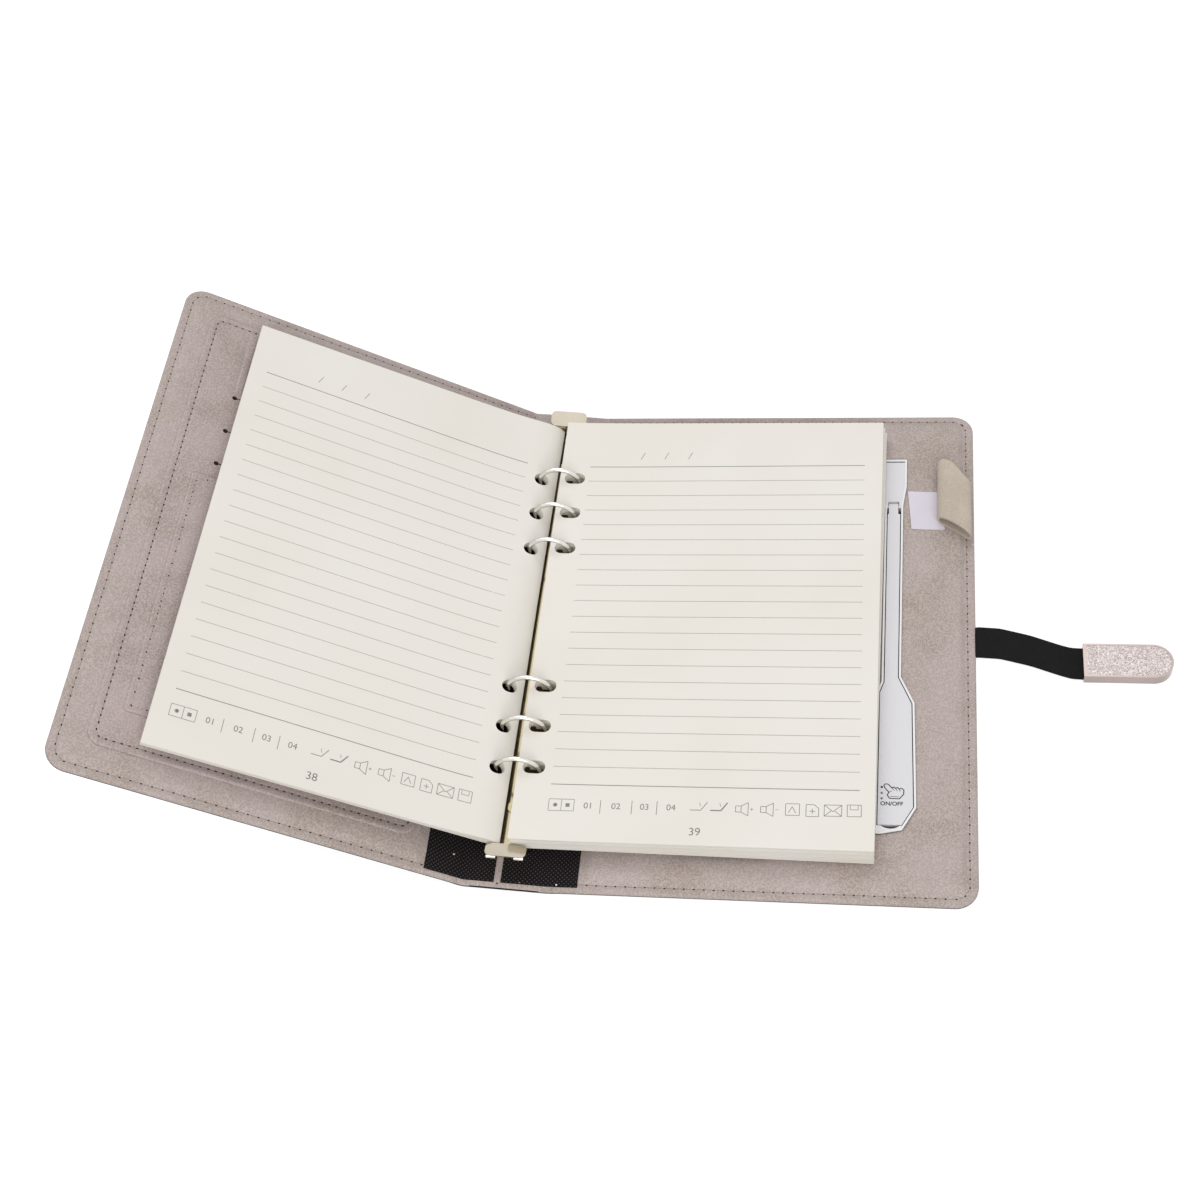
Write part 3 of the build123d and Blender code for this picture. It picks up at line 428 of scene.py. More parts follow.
def cut_sheet(outline, top, bottom, holes=(), spacing=3.0, rows=(), levels=((0, 0), (1, 0))):
    """A sheet cut to an outline, with holes, shaped above and below.
    The plan is a net of triangles over the outline, the holes, guide rows and evenly spread points. Each plan
    point (x, y) is lifted to top(x, y) and bottom(x, y). Round every edge a wall joins the two; each of its
    levels is a share of the way down and a shift outwards."""
    loops = [outline, *holes]
    low, high = outline.min(0), outline.max(0)
    xs = np.arange(low[0] + spacing / 2, high[0], spacing)
    ys = np.arange(low[1] + spacing / 2, high[1], spacing * 0.87)
    net_x, net_y = np.meshgrid(xs, ys)
    net_x = net_x + (np.arange(len(ys)) % 2)[:, None] * spacing / 2
    net = np.stack([net_x.ravel(), net_y.ravel()], axis=1)
    clear = np.ones(len(net), bool)
    for line in [*loops, *rows]:
        clear &= edge_distance(net, line) > spacing * 0.4
    guides = np.concatenate(rows) if rows else np.zeros((0, 2))
    extra = np.concatenate([guides, net[clear]])
    keep = inside(extra, outline)
    for hole in holes:
        keep &= ~inside(extra, hole)
    plan = np.concatenate([*loops, extra[keep]])
    starts = np.cumsum([0] + [len(loop) for loop in loops])
    edges = [(s + k, s + (k + 1) % len(loop)) for s, loop in zip(starts, loops) for k in range(len(loop))]
    found = geometry.delaunay_2d_cdt([Vector(p) for p in plan.tolist()], edges, [], 0, 1e-5)
    flat = np.array([tuple(p) for p in found[0]])
    triangles = np.array(found[2])
    centres = flat[triangles].mean(1)
    use = inside(centres, outline)
    for hole in holes:
        use &= ~inside(centres, hole)
    triangles = triangles[use]
    first, second, third = (flat[triangles[:, k]] for k in range(3))
    area = np.cross(second - first, third - first)
    triangles[area < 0] = triangles[area < 0][:, ::-1]
    sides = np.concatenate([triangles[:, [0, 1]], triangles[:, [1, 2]], triangles[:, [2, 0]]])
    keys = sides[:, 0].astype(np.int64) * len(flat) + sides[:, 1]
    back_keys = sides[:, 1].astype(np.int64) * len(flat) + sides[:, 0]
    rim = sides[~np.isin(keys, back_keys)]
    way = flat[rim[:, 1]] - flat[rim[:, 0]]
    outward = np.stack([way[:, 1], -way[:, 0]], axis=1) / np.linalg.norm(way, axis=1)[:, None]
    normal = np.zeros_like(flat)
    np.add.at(normal, rim[:, 0], outward)
    np.add.at(normal, rim[:, 1], outward)
    size = np.linalg.norm(normal, axis=1)
    normal[size > 0] /= size[size > 0][:, None]
    upper = top(flat)
    lower = bottom(flat)
    count = len(flat)
    rim_points = np.unique(rim)
    place = np.zeros(count, int)
    place[rim_points] = np.arange(len(rim_points))
    points = [np.c_[flat, upper], np.c_[flat, lower]]
    depth = [np.zeros(count), np.ones(count)]
    stations = [rim_points]
    total = 2 * count
    for share, shift in levels[1:-1]:
        moved = flat[rim_points] + normal[rim_points] * shift
        height = upper[rim_points] * (1 - share) + lower[rim_points] * share
        points.append(np.c_[moved, height])
        depth.append(np.full(len(rim_points), share))
        stations.append(total + np.arange(len(rim_points)))
        total += len(rim_points)
    stations.append(count + rim_points)
    points[0][rim_points, :2] += normal[rim_points] * levels[0][1]
    points[1][rim_points, :2] += normal[rim_points] * levels[-1][1]
    walls = []
    for above, below in zip(stations[:-1], stations[1:]):
        start, end = place[rim[:, 0]], place[rim[:, 1]]
        walls.append(np.stack([above[end], above[start], below[start], below[end]], axis=1))
    faces = [triangles, triangles[:, ::-1] + count, np.concatenate(walls)]
    return np.concatenate(points), faces, np.concatenate(depth)


def carried(rings, closed_ends=True):
    """A skin over rings of points, as an array of stations by points round by 3. Each ring is joined to the
    next by squares, and the two end rings are filled."""
    stations, around = rings.shape[:2]
    here = np.arange(around)
    start = (np.arange(stations - 1) * around)[:, None]
    quads = np.stack([start + here, start + np.roll(here, -1), start + around + np.roll(here, -1),
                      start + around + here], axis=-1).reshape(-1, 4)
    faces = [quads]
    if closed_ends:
        faces.append(here[::-1][None])
        faces.append((here + (stations - 1) * around)[None])
    return rings.reshape(-1, 3), faces


def flat_constant(height):
    """A height that is the same everywhere."""
    return lambda flat: np.full(len(flat), float(height))


# %% [markdown]
# ## Leather, paper and metal
#
# Each finish is built from small shader groups. A group gives a mask or a height only; the material
# decides what colour and how much shine that means. The same grain can then serve the black outside and
# the taupe lining.

# %% Shader groups
grain_group, source, result = new_group(
    "leather_grain",
    [("Size", "NodeSocketFloat", 1500.0)],
    [("Height", "NodeSocketFloat"), ("Cloud", "NodeSocketFloat")],
)
board = Board(grain_group)
spot = board.node("ShaderNodeTexCoord").outputs["Object"]
cells = board.node("ShaderNodeTexVoronoi", {"Randomness": 0.9}, Vector=spot, Scale=source.outputs["Size"])
fine = board.node("ShaderNodeTexNoise", {"Scale": 2600.0, "Detail": 3.0}, Vector=spot)
cloud = board.node("ShaderNodeTexNoise", {"Scale": 38.0, "Detail": 5.0, "Roughness": 0.6}, Vector=spot)
pebble = board.math("MULTIPLY", cells.outputs["Distance"], 0.6)
height = board.math("ADD", pebble, board.math("MULTIPLY", fine.outputs["Fac"], 0.5))
grain_group.links.new(height, result.inputs["Height"])
grain_group.links.new(cloud.outputs["Fac"], result.inputs["Cloud"])

fibre_group, source, result = new_group(
    "paper_fibre",
    [("Leaf pitch", "NodeSocketFloat", 0.12)],
    [("Height", "NodeSocketFloat"), ("Tone", "NodeSocketFloat"), ("Leaves", "NodeSocketFloat")],
)
board = Board(fibre_group)
spot = board.node("ShaderNodeTexCoord").outputs["Object"]
fine = board.node("ShaderNodeTexNoise", {"Scale": 1800.0, "Detail": 4.0}, Vector=spot)
tone = board.node("ShaderNodeTexNoise", {"Scale": 16.0, "Detail": 2.0}, Vector=spot)
depth = board.node("ShaderNodeAttribute", {"attribute_name": "thickness"}).outputs["Fac"]
layer = board.math("DIVIDE", depth, source.outputs["Leaf pitch"])
row = board.node("ShaderNodeCombineXYZ", None, X=layer)
uneven = {"Scale": 1.0, "Detail": 2.0, "Roughness": 0.7}
leaves = board.node("ShaderNodeTexNoise", uneven, Vector=row.outputs[0])
fibre_group.links.new(fine.outputs["Fac"], result.inputs["Height"])
fibre_group.links.new(tone.outputs["Fac"], result.inputs["Tone"])
fibre_group.links.new(leaves.outputs["Fac"], result.inputs["Leaves"])

dots_group, source, result = new_group(
    "dot_grid",
    [("Pitch", "NodeSocketFloat", 0.016), ("Dot", "NodeSocketFloat", 0.2)],
    [("Mask", "NodeSocketFloat"), ("Height", "NodeSocketFloat")],
)
board = Board(dots_group)
plan_map = board.node("ShaderNodeUVMap", {"uv_map": "plan"}).outputs[0]
parts = board.node("ShaderNodeSeparateXYZ", None, Vector=plan_map)
waves = [
    board.math("SINE", board.math("MULTIPLY", board.math("DIVIDE", part, source.outputs["Pitch"]), 2 * pi))
    for part in (parts.outputs[0], parts.outputs[1])
]
peak = board.math("MULTIPLY", waves[0], waves[1])
edge = board.math("SUBTRACT", 1.0, source.outputs["Dot"])
mask = board.math("MULTIPLY", board.math("SUBTRACT", peak, edge), 6.0)
mask = board.node("ShaderNodeClamp", None, Value=mask).outputs[0]
dots_group.links.new(mask, result.inputs["Mask"])
dots_group.links.new(peak, result.inputs["Height"])

flakes_group, source, result = new_group(
    "glitter_flakes",
    [("Size", "NodeSocketFloat", 2600.0)],
    [("Tone", "NodeSocketFloat")],
)
board = Board(flakes_group)
spot = board.node("ShaderNodeTexCoord").outputs["Object"]
flakes = board.node("ShaderNodeTexVoronoi", None, Vector=spot, Scale=source.outputs["Size"])
tone = board.node("ShaderNodeSeparateColor", None, Color=flakes.outputs["Color"])
flakes_group.links.new(tone.outputs[0], result.inputs["Tone"])

wear_group, source, result = new_group(
    "fine_wear",
    [("Size", "NodeSocketFloat", 900.0)],
    [("Height", "NodeSocketFloat"), ("Cloud", "NodeSocketFloat")],
)
board = Board(wear_group)
spot = board.node("ShaderNodeTexCoord").outputs["Object"]
fine = board.node("ShaderNodeTexNoise", {"Detail": 4.0}, Vector=spot, Scale=source.outputs["Size"])
cloud = board.node("ShaderNodeTexNoise", {"Scale": 60.0, "Detail": 4.0}, Vector=spot)
wear_group.links.new(fine.outputs["Fac"], result.inputs["Height"])
wear_group.links.new(cloud.outputs["Fac"], result.inputs["Cloud"])
print("shader groups", len(bpy.data.node_groups))


# %% Materials of the soft parts
def leather(name, dark, light, roughness, size, depth, shine=0.3, bloom=None, edge_shade=None):
    """Leather whose grain lies between two shades. Large clouds of a bloom colour lie over it, and a cut
    edge, where there is one, is darker: mostly painted shade along the edge, with some of the cut's own
    darker tone."""
    material, shader, board = new_material(name)
    grain = use_group(board, grain_group, Size=size)
    speck = board.spread(grain.outputs["Height"], 0.25, 0.7)
    cloud = board.spread(grain.outputs["Cloud"], 0.4, 0.6)
    share = board.math("ADD", board.math("MULTIPLY", speck, 0.7), board.math("MULTIPLY", cloud, 0.3))
    shade = board.mix(share, colour(*dark), colour(*light))
    if bloom:
        share = board.spread(grain.outputs["Cloud"], 0.42, 0.62, 0.0, 0.35)
        shade = board.mix(share, shade, colour(*bloom))
    # Painted shade: the cut edge's wall turns darker towards its foot.
    if edge_shade:
        cut = board.node("ShaderNodeAttribute", {"attribute_name": "shaded_cut_edge"}).outputs["Fac"]
        shade = board.mix(board.math("MULTIPLY", cut, 0.8), shade, colour(*edge_shade))
    shaded(board, shader, shade, Roughness=roughness, Specular_IOR_Level=shine)
    bump(board, shader, grain.outputs["Height"], depth, 0.0002)
    return material


NUBUCK = (0.62, 1300.0, 0.6, 0.3, (174, 158, 162))
taupe = leather("taupe_lining", (144, 130, 123), (203, 190, 183), *NUBUCK)
# The pockets' edge colour is mostly painted shade along their edges.
taupe_pocket = leather("taupe_pocket", (144, 129, 123), (202, 188, 183), *NUBUCK, (96, 84, 78))
black_leather = leather("black_cover", (18, 18, 20), (36, 35, 38), 0.5, 1100.0, 0.5, 0.12)
black_strap = leather("black_strap", (11, 10, 11), (24, 23, 24), 0.5, 1300.0, 0.3, 0.08)
beige = leather("elastic", (176, 163, 148), (208, 196, 182), 0.75, 2000.0, 0.4)
tag_white = leather("tag_paper", (214, 208, 220), (228, 222, 233), 0.6, 2600.0, 0.1)

mesh_black, shader, board = new_material("black_mesh")
dots = use_group(board, dots_group, Pitch=0.018, Dot=0.45)
tone = board.mix(dots.outputs["Mask"], colour(30, 27, 28), colour(82, 77, 77))
shaded(board, shader, tone, Roughness=0.8, Specular_IOR_Level=0.05)
bump(board, shader, dots.outputs["Height"], 0.5, 0.0002)


cream_paper, shader, board = new_material("page_paper")
fibre = use_group(board, fibre_group, Leaf_pitch=0.12)
# The rim of a stack is darker in stripes: painted shade in the gaps between the leaves, with their own uneven
# tone.
leaves = board.spread(fibre.outputs["Leaves"], 0.42, 0.66)
wall = board.node("ShaderNodeAttribute", {"attribute_name": "wall"}).outputs["Fac"]
share = board.math("MULTIPLY", leaves, board.math("MULTIPLY", wall, 0.55))
tone = board.spread(fibre.outputs["Tone"], 0.35, 0.65)
face = board.mix(tone, colour(236, 231, 222), colour(239, 235, 228))
shaded(board, shader, board.mix(share, face, colour(178, 172, 152)), Roughness=0.85)
bump(board, shader, fibre.outputs["Height"], 0.12, 0.0001)


def speckled(name, dark, light, size=1500.0, roughness=0.8, mask="Height"):
    """Ink, thread or cloth whose tone is finely uneven between two shades."""
    material, shader, board = new_material(name)
    grain = use_group(board, wear_group, Size=size)
    shaded(board, shader, board.mix(grain.outputs[mask], colour(*dark), colour(*light)), Roughness=roughness)
    return material


# Painted shade for the insides of the card slots.
slot_shade_cloth = speckled("slot_shade_sheet", (16, 13, 12), (40, 33, 31), 3500.0, 0.95)
thread = speckled("taupe_thread", (128, 114, 108), (176, 162, 154), 4000.0)
white_thread = speckled("white_thread", (214, 212, 208), (250, 249, 246), 4000.0)
# Needle holes are drawn as dark beads: painted shade inside the holes.
needle_hole_shade = speckled("needle_hole_shade", (24, 18, 18), (52, 42, 40), 3000.0, 0.9, "Cloud")
print_ink = speckled("print_ink", (150, 148, 142), (196, 193, 184))
dark_ink = speckled("dark_ink", (120, 118, 114), (150, 148, 143))
switch_ink = speckled("switch_ink", (22, 22, 24), (42, 42, 44), roughness=0.5)


# %% Materials of the hard parts
finishes = {}


def hard(name, dark, light, roughness, metallic=0.0, size=900.0, depth=0.05, rim=None, shade_below=None):
    """Plastic or metal with a little wear: cloudy shine and a fine texture. A rim colour is a painted
    reflection, mixed in where the surface turns away from the eye, where polished metal would mirror darker
    things. A height in metres and a colour may be given for painted shade: under that height the surface
    takes the darker colour."""
    material, shader, board = new_material(name)
    wear = use_group(board, wear_group, Size=size)
    tint = board.mix(wear.outputs["Cloud"], colour(*dark), colour(*light))
    # Painted reflection: a darker colour where the surface turns away from the eye.
    if rim:
        facing = board.node("ShaderNodeLayerWeight", {"Blend": 0.42}).outputs["Facing"]
        tint = board.mix(board.spread(facing, 0.35, 0.9), tint, colour(*rim))
    # Painted shade: under the given height the colour turns to the darker one.
    if shade_below:
        spot = board.node("ShaderNodeTexCoord").outputs["Object"]
        height = board.node("ShaderNodeSeparateXYZ", None, Vector=spot).outputs[2]
        tint = board.mix(board.spread(height, shade_below[0] - 0.0003, shade_below[0]), colour(*shade_below[1]), tint)
    shaded(board, shader, tint, Metallic=metallic)
    rough = board.spread(wear.outputs["Cloud"], 0.3, 0.7, roughness * 0.8, roughness * 1.2)
    board.tree.links.new(rough, shader.inputs["Roughness"])
    bump(board, shader, wear.outputs["Height"], depth, 0.0001)
    finishes[name] = material


# The rim colours of the ring and lever chrome are painted reflections of darker surroundings.
hard("ring_chrome", (222, 219, 212), (238, 236, 230), 0.1, 1.0, 600.0, 0.02, rim=(96, 88, 74))
# The arch plate's olive-brown tone is mostly a painted reflection of the paper and of the shade in the gap
# between the pages.
hard("arch_chrome", (124, 112, 88), (160, 150, 124), 0.16, 1.0, 300.0, 0.03)
hard("lever_chrome", (190, 181, 160), (214, 204, 190), 0.2, 1.0, 300.0, 0.03, rim=(110, 100, 80))
hard("rail_steel", (150, 144, 130), (176, 170, 158), 0.25, 1.0, 800.0, 0.05)
hard("screw_steel", (150, 142, 138), (182, 174, 170), 0.3, 1.0, 1200.0, 0.05)
hard("socket_steel", (180, 180, 182), (206, 206, 208), 0.3, 1.0, 900.0, 0.05)
hard("magnet", (150, 150, 154), (176, 176, 180), 0.3, 1.0, 900.0, 0.05)
hard("clasp_metal", (158, 145, 141), (178, 166, 162), 0.25, 1.0, 700.0, 0.03)
hard("white_case", (224, 224, 224), (234, 234, 233), 0.4, 0.0, 1400.0, 0.1)
hard("grey_button", (120, 122, 126), (138, 140, 144), 0.45, 0.0, 1400.0, 0.1)
hard("light_guide", (206, 226, 236), (222, 236, 242), 0.2, 0.0, 1400.0, 0.03)
hard("cell_wrap", (150, 156, 166), (176, 182, 190), 0.35, 0.6, 500.0, 0.2)
hard("circuit", (24, 74, 46), (36, 96, 60), 0.4, 0.0, 700.0, 0.15)
hard("board", (142, 136, 126), (168, 160, 148), 0.9, 0.0, 700.0, 0.4)
# The tray is white; below its rim its inside is painted dark grey, as painted shade in the gap round the
# lamp.
hard("tray_white", (234, 234, 235), (242, 242, 243), 0.4, 0.0, 1400.0, 0.05, shade_below=(0.0043, (48, 46, 46)))
hard("lamp_white", (216, 215, 219), (226, 225, 229), 0.4, 0.0, 1400.0, 0.06)
hard("diffuser", (238, 236, 228), (246, 245, 240), 0.5, 0.0, 1800.0, 0.1)

glitter, shader, board = new_material("glitter")
flakes = use_group(board, flakes_group, Size=2600.0)
tone = board.mix(board.spread(flakes.outputs["Tone"], 0.0, 1.0), colour(156, 142, 140), colour(234, 224, 222))
shaded(board, shader, tone, Metallic=0.5, Roughness=0.35)
bump(board, shader, flakes.outputs["Tone"], 0.6, 0.0003)
finishes["glitter"] = glitter

OWN_FINISH = {
    "lamp_tray": "tray_white", "lamp_head_block": "lamp_white",
    "ring_arch_plate": "arch_chrome", "ring_rivets": "arch_chrome",
}
painted = []
for row in frame["record"]["subparts"]:
    finish = OWN_FINISH.get(row["node"], row["material_slot"])
    if finish in finishes:
        materials = frame["nodes"][row["node"]].data.materials
        materials.clear()
        materials.append(finishes[finish])
        painted.append(row["node"])
print("painted CAD nodes", len(painted), "with", len(finishes), "finishes")


# %% [markdown]
# ## The outside of the covers
#
# The outside is one sheet of black imitation leather glued round the boards. Over each fold it has no
# board behind it, so it bends there. Five pieces follow the real sheet: two covers, the spine and the
# two hinges, whose ends meet edge to edge.

# %% Outer skins
SKIN = 0.7
HINGE_REACH = 2.5


def skin_panel(name, node, fold_x, free_x, place, body):
    """A cover's outer sheet with a softly rounded lower edge."""
    corners, radii = panel_corners(fold_x, free_x, 0, HINGE_REACH)
    coarse = rounded_loop(corners, radii)
    outline = rounded_loop(corners, radii, 3.0)

    def under(flat):
        return 0.22 * (1 - smooth(edge_distance(flat, coarse), 0, 0.5)) * (np.abs(flat[:, 0] - fold_x) > 4)

    inner = rounded_loop(*panel_corners(fold_x, free_x, 0.5, HINGE_REACH), 3.0)
    points, faces, _ = cut_sheet(outline, flat_constant(SKIN), under, spacing=9.0, rows=[inner])
    made = new_piece(name, place(points), faces, body, black_leather)
    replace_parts(made, node)


skin_panel("back_cover_leather", "back_cover_skin", BACK_FOLD[0], BACK_EDGE, on_back, "back_cover")
skin_panel("front_cover_leather", "front_cover_skin", FRONT_FOLD[0], FREE_EDGE, on_front, "front_cover")


def plate_section(x_values, low, high):
    """The closed side view of a thin sheet: its top from one end to the other, and its underside back."""
    return np.concatenate([np.c_[x_values, high(x_values)], np.c_[x_values[::-1], low(x_values[::-1])]])


def sheet_along(section, y_values):
    """A side view in x and z carried along Y."""
    rings = np.zeros((len(y_values), len(section), 3))
    rings[:, :, 0] = section[:, 0]
    rings[:, :, 2] = section[:, 1]
    rings[:, :, 1] = np.asarray(y_values)[:, None]
    return carried(rings)


spine_x = np.linspace(FRONT_FOLD[0] + HINGE_REACH, BACK_FOLD[0] - HINGE_REACH, 10)
whole_height = np.unique(np.r_[np.linspace(-HALF_HEIGHT, HALF_HEIGHT, 41), -119.6, -119.1, 119.1, 119.6])
points, faces = sheet_along(plate_section(spine_x, lambda x: 0 * x, lambda x: 0 * x + SKIN), whole_height)
spine_leather = new_piece("spine_leather", on_spine(points), faces, "spine", black_leather)
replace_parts(spine_leather, "spine_skin")


def hinge_piece(name, fold, low, high, right_side, left_side, bodies, material, slot_name):
    """A sheet over a fold: it follows one body on each side and bends softly between them."""
    x_values = np.linspace(fold[0] - HINGE_REACH, fold[0] + HINGE_REACH, 15)
    section = plate_section(x_values, lambda x: 0 * x + low, lambda x: 0 * x + high)
    points, faces = sheet_along(section, whole_height)
    points = rolled_ends(points, high)
    points = bent_over(points, right_side, left_side, fold, HINGE_REACH)
    made = new_piece(name, points, faces, None, material)
    start = right_side(np.array([[fold[0] + HINGE_REACH, 0, 0.35]]))[0] * MM
    end = left_side(np.array([[fold[0] - HINGE_REACH, 0, 0.35]]))[0] * MM
    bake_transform(made)
    return made


def rolled_ends(points, high):
    """Lets a sheet's top roll down a little at its two ends along Y, if it is as thick as a lining."""
    rolled = points.copy()
    if high > 1:
        to_end = np.clip(1 - (HALF_HEIGHT - np.abs(points[:, 1])) / 0.9, 0, 1)
        rolled[:, 2] -= 0.55 * to_end ** 2 * (points[:, 2] > high - 0.1)
    return rolled


back_hinge = (BACK_FOLD, 0.0, SKIN, on_back, on_spine, ("back_cover", "spine"), black_leather, "black_cover")
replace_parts(hinge_piece("back_hinge_leather", *back_hinge), "back_hinge_skin")
front_hinge = (FRONT_FOLD, 0.0, SKIN, on_spine, on_front, ("spine", "front_cover"),
               black_leather, "black_cover")
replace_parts(hinge_piece("front_hinge_leather", *front_hinge), "front_hinge_skin")


# %% [markdown]
# ## The lining
#
# The inside is lined with taupe imitation leather. A board under it makes the middle stand higher than
# the sewn margin. The lining's height is a formula of the distance to the edge: it rolls down at the
# edge, sinks a little under the seam and rises over the board.

# %% Linings
MARGIN_TOP = 2.0
SEAM_INSET = 3.2
BACK_TOP = 4.0
FRONT_TOP = 3.0
BACK_BARE, BACK_BOARD_TOP = 14.0, 3.3
FRONT_BARE, FRONT_BOARD_TOP = 17.0, 2.3
TRAY_OUTLINE = [
    (43.16, 92.9), (53.96, 92.9), (53.96, 78.3), (52.56, 67.5), (52.56, -20.2), (58.06, -32.5),
    (59.06, -80.0), (53.76, -89.7), (45.46, -91.5), (43.16, -91.5), (43.16, -27.5), (44.86, -22.5),
    (44.86, 66.5), (43.16, 70.0),
]
CASE_WINDOW = [
    (-61.34, 90.5), (42.2, 90.5), (42.2, -90.5), (3.0, -90.5), (3.0, -103.0), (-31.0, -103.0), (-31.0, -90.5),
    (-61.34, -90.5),
]


def lining_heights(fold_x, free_x, bare, board_top, top, windows):
    """The top and the underside of a cover's lining as functions of the plan."""
    edge = rounded_loop(*panel_corners(fold_x, free_x, 0, -30))

    def upper(flat):
        away = edge_distance(flat, edge)
        from_fold = np.abs(flat[:, 0] - fold_x)
        raised = smooth(away, 3.7, 6.6) * smooth(from_fold, bare - 0.4, bare + 2.6)
        roll = np.clip(1 - away / 0.9, 0, 1)
        seam = np.exp(-((away - SEAM_INSET) / 0.55) ** 2)
        height = MARGIN_TOP + (top - MARGIN_TOP) * raised - 0.55 * roll ** 2 - 0.14 * seam
        for window in windows:
            height -= 0.35 * np.clip(1 - edge_distance(flat, window) / 0.6, 0, 1) ** 2
        return height

    def lower(flat):
        away = edge_distance(flat, edge)
        from_fold = np.abs(flat[:, 0] - fold_x)
        over_board = (away > 5.9) & (from_fold > bare + 2.9)
        return np.where(over_board, board_top + 0.02, SKIN + 0.02)

    return upper, lower


def lining_panel(name, node, fold_x, free_x, bare, board_top, top, place, body, windows=()):
    """A cover's lining with a seam groove and a middle raised by the board. Bare is how far the board stays
    from the fold, and the windows are the openings for the case and the lamp's tray."""
    corners = panel_corners(fold_x, free_x, 0, HINGE_REACH)
    outline = rounded_loop(*corners, 2.0)
    coarse_windows = [np.array(window, float) for window in windows]
    upper, lower = lining_heights(fold_x, free_x, bare, board_top, top, coarse_windows)
    rows = [
        rounded_loop(*panel_corners(fold_x, free_x, inset, HINGE_REACH + 0.1 + inset * 0.2), 2.0)
        for inset in (0.3, 0.9, 1.8, 2.6, 3.2, 3.8, 4.8, 5.8, 6.8)
    ]
    holes = [divided(window, 2.0, True) for window in coarse_windows]
    points, faces, _ = cut_sheet(outline, upper, lower, holes, 3.2, rows, ((0, 0), (0.4, 0.05), (1, 0)))
    made = new_piece(name, place(points), faces, body, taupe, crease=50)
    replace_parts(made, node)
    return upper


back_height = lining_panel("back_cover_inner_leather", "back_cover_lining", BACK_FOLD[0], BACK_EDGE,
                           BACK_BARE, BACK_BOARD_TOP, BACK_TOP, on_back, "back_cover",
                           [CASE_WINDOW[::-1], TRAY_OUTLINE[::-1]])
front_height = lining_panel("front_cover_inner_leather", "front_cover_lining", FRONT_FOLD[0], FREE_EDGE,
                            FRONT_BARE, FRONT_BOARD_TOP, FRONT_TOP, on_front, "front_cover")

spine_x = np.linspace(FRONT_FOLD[0] + HINGE_REACH, BACK_FOLD[0] - HINGE_REACH, 20)


def spine_under(x):
    """The underside of the spine's lining, which lies over the spine board."""
    over = (x > FRONT_FOLD[0] + 3) & (x < BACK_FOLD[0] - 3)
    return np.where(over, 1.52, SKIN + 0.02)


points, faces = sheet_along(plate_section(spine_x, spine_under, lambda x: 0 * x + MARGIN_TOP), whole_height)
points = on_spine(rolled_ends(points, MARGIN_TOP))
spine_lining = new_piece("spine_inner_leather", points, faces, "spine", taupe)
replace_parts(spine_lining, "spine_lining")
for name, hinge in (("back_hinge_lining", back_hinge), ("front_hinge_lining", front_hinge)):
    hinge_piece(name, hinge[0], SKIN + 0.02, MARGIN_TOP, *hinge[3:6], taupe, "taupe_lining")

# %% [markdown]
# ## Pockets on the front cover
#
# Two flat pockets are cut from the same taupe sheet and sewn on: a large one with three slots for cards
# and a small one over it. Their edges are turned over and stand up a little, and the sheet sinks along
# the seam. A dark sheet lies behind the card slots and shows through them as painted shade.

# %% Pockets
LARGE_S = (12.6, 142.0)
LARGE_Y = (-107.2, 108.4)
LARGE_CORNER = 6.0
SMALL_S = (22.8, 125.0)
SMALL_Y = (-90.5, 24.5)
SMALL_CORNER = 1.5
LARGE_SEAM = 3.0
SMALL_SEAM = 2.4
POCKET_THICK = 0.6


def box_corners(x_low, x_high, y_low, y_high):
    """A rectangle's corners, counter-clockwise."""
    return [(x_low, y_low), (x_high, y_low), (x_high, y_high), (x_low, y_high)]


def pocket_corners(s_span, y_span, inset):
    """The corners of a pocket's rectangle, drawn in by the inset. Its span along s is measured from the
    cover's free edge."""
    left, right = FREE_EDGE + s_span[0], FREE_EDGE + s_span[1]
    return box_corners(left + inset, right - inset, y_span[0] + inset, y_span[1] - inset)


def pocket(name, node, s_span, y_span, corner, low, seam, holes=(), fold=None):
    """A pocket sheet: its edge is turned over and so a little thicker, and it sinks where it is sewn.
    A fold is a raised strip, given as its two sides and its two ends."""
    corners = pocket_corners(s_span, y_span, 0.0)
    coarse = rounded_loop(corners, corner)

    def upper(flat):
        away = edge_distance(flat, coarse)
        height = low + POCKET_THICK - 0.35 * np.clip(1 - away / 0.6, 0, 1) ** 2
        height += 0.16 * smooth(away, 0.1, 0.8) * (1 - smooth(away, seam - 0.9, seam))
        height -= 0.14 * np.exp(-((away - seam) / 0.5) ** 2)
        if fold is not None:
            side = np.abs(flat[:, 0] - (fold[0] + fold[1]) / 2) - (fold[1] - fold[0]) / 2
            begun = smooth(flat[:, 1], fold[2] - 0.6, fold[2] + 0.6)
            ended = smooth(flat[:, 1], fold[3] - 0.6, fold[3] + 0.6)
            strip = 0.16 * (1 - smooth(side, -0.5, 0.0)) - 0.14 * np.exp(-((side - 0.25) / 0.3) ** 2)
            height += begun * (1 - ended) * strip
        return height

    rows = []
    for inset in (0.2, 0.5, 0.9, seam - 0.7, seam, seam + 0.7):
        rows.append(rounded_loop(pocket_corners(s_span, y_span, inset), max(corner - inset, 0.3), 2.0))
    if fold is not None:
        rows += [
            divided(np.array([(x + shift, fold[2]), (x + shift, fold[3])]), 2.0)
            for x in fold[:2] for shift in (-0.55, -0.25, 0.0, 0.25, 0.55)
        ]
    outline = rounded_loop(corners, corner, 2.0)
    points, faces, depth = cut_sheet(outline, upper, flat_constant(low + 0.02), holes, 4.0, rows)
    made = new_piece(name, on_front(points), faces, "front_cover", taupe_pocket, crease=50,
                     extra={"shaded_cut_edge": depth})
    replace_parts(made, node)


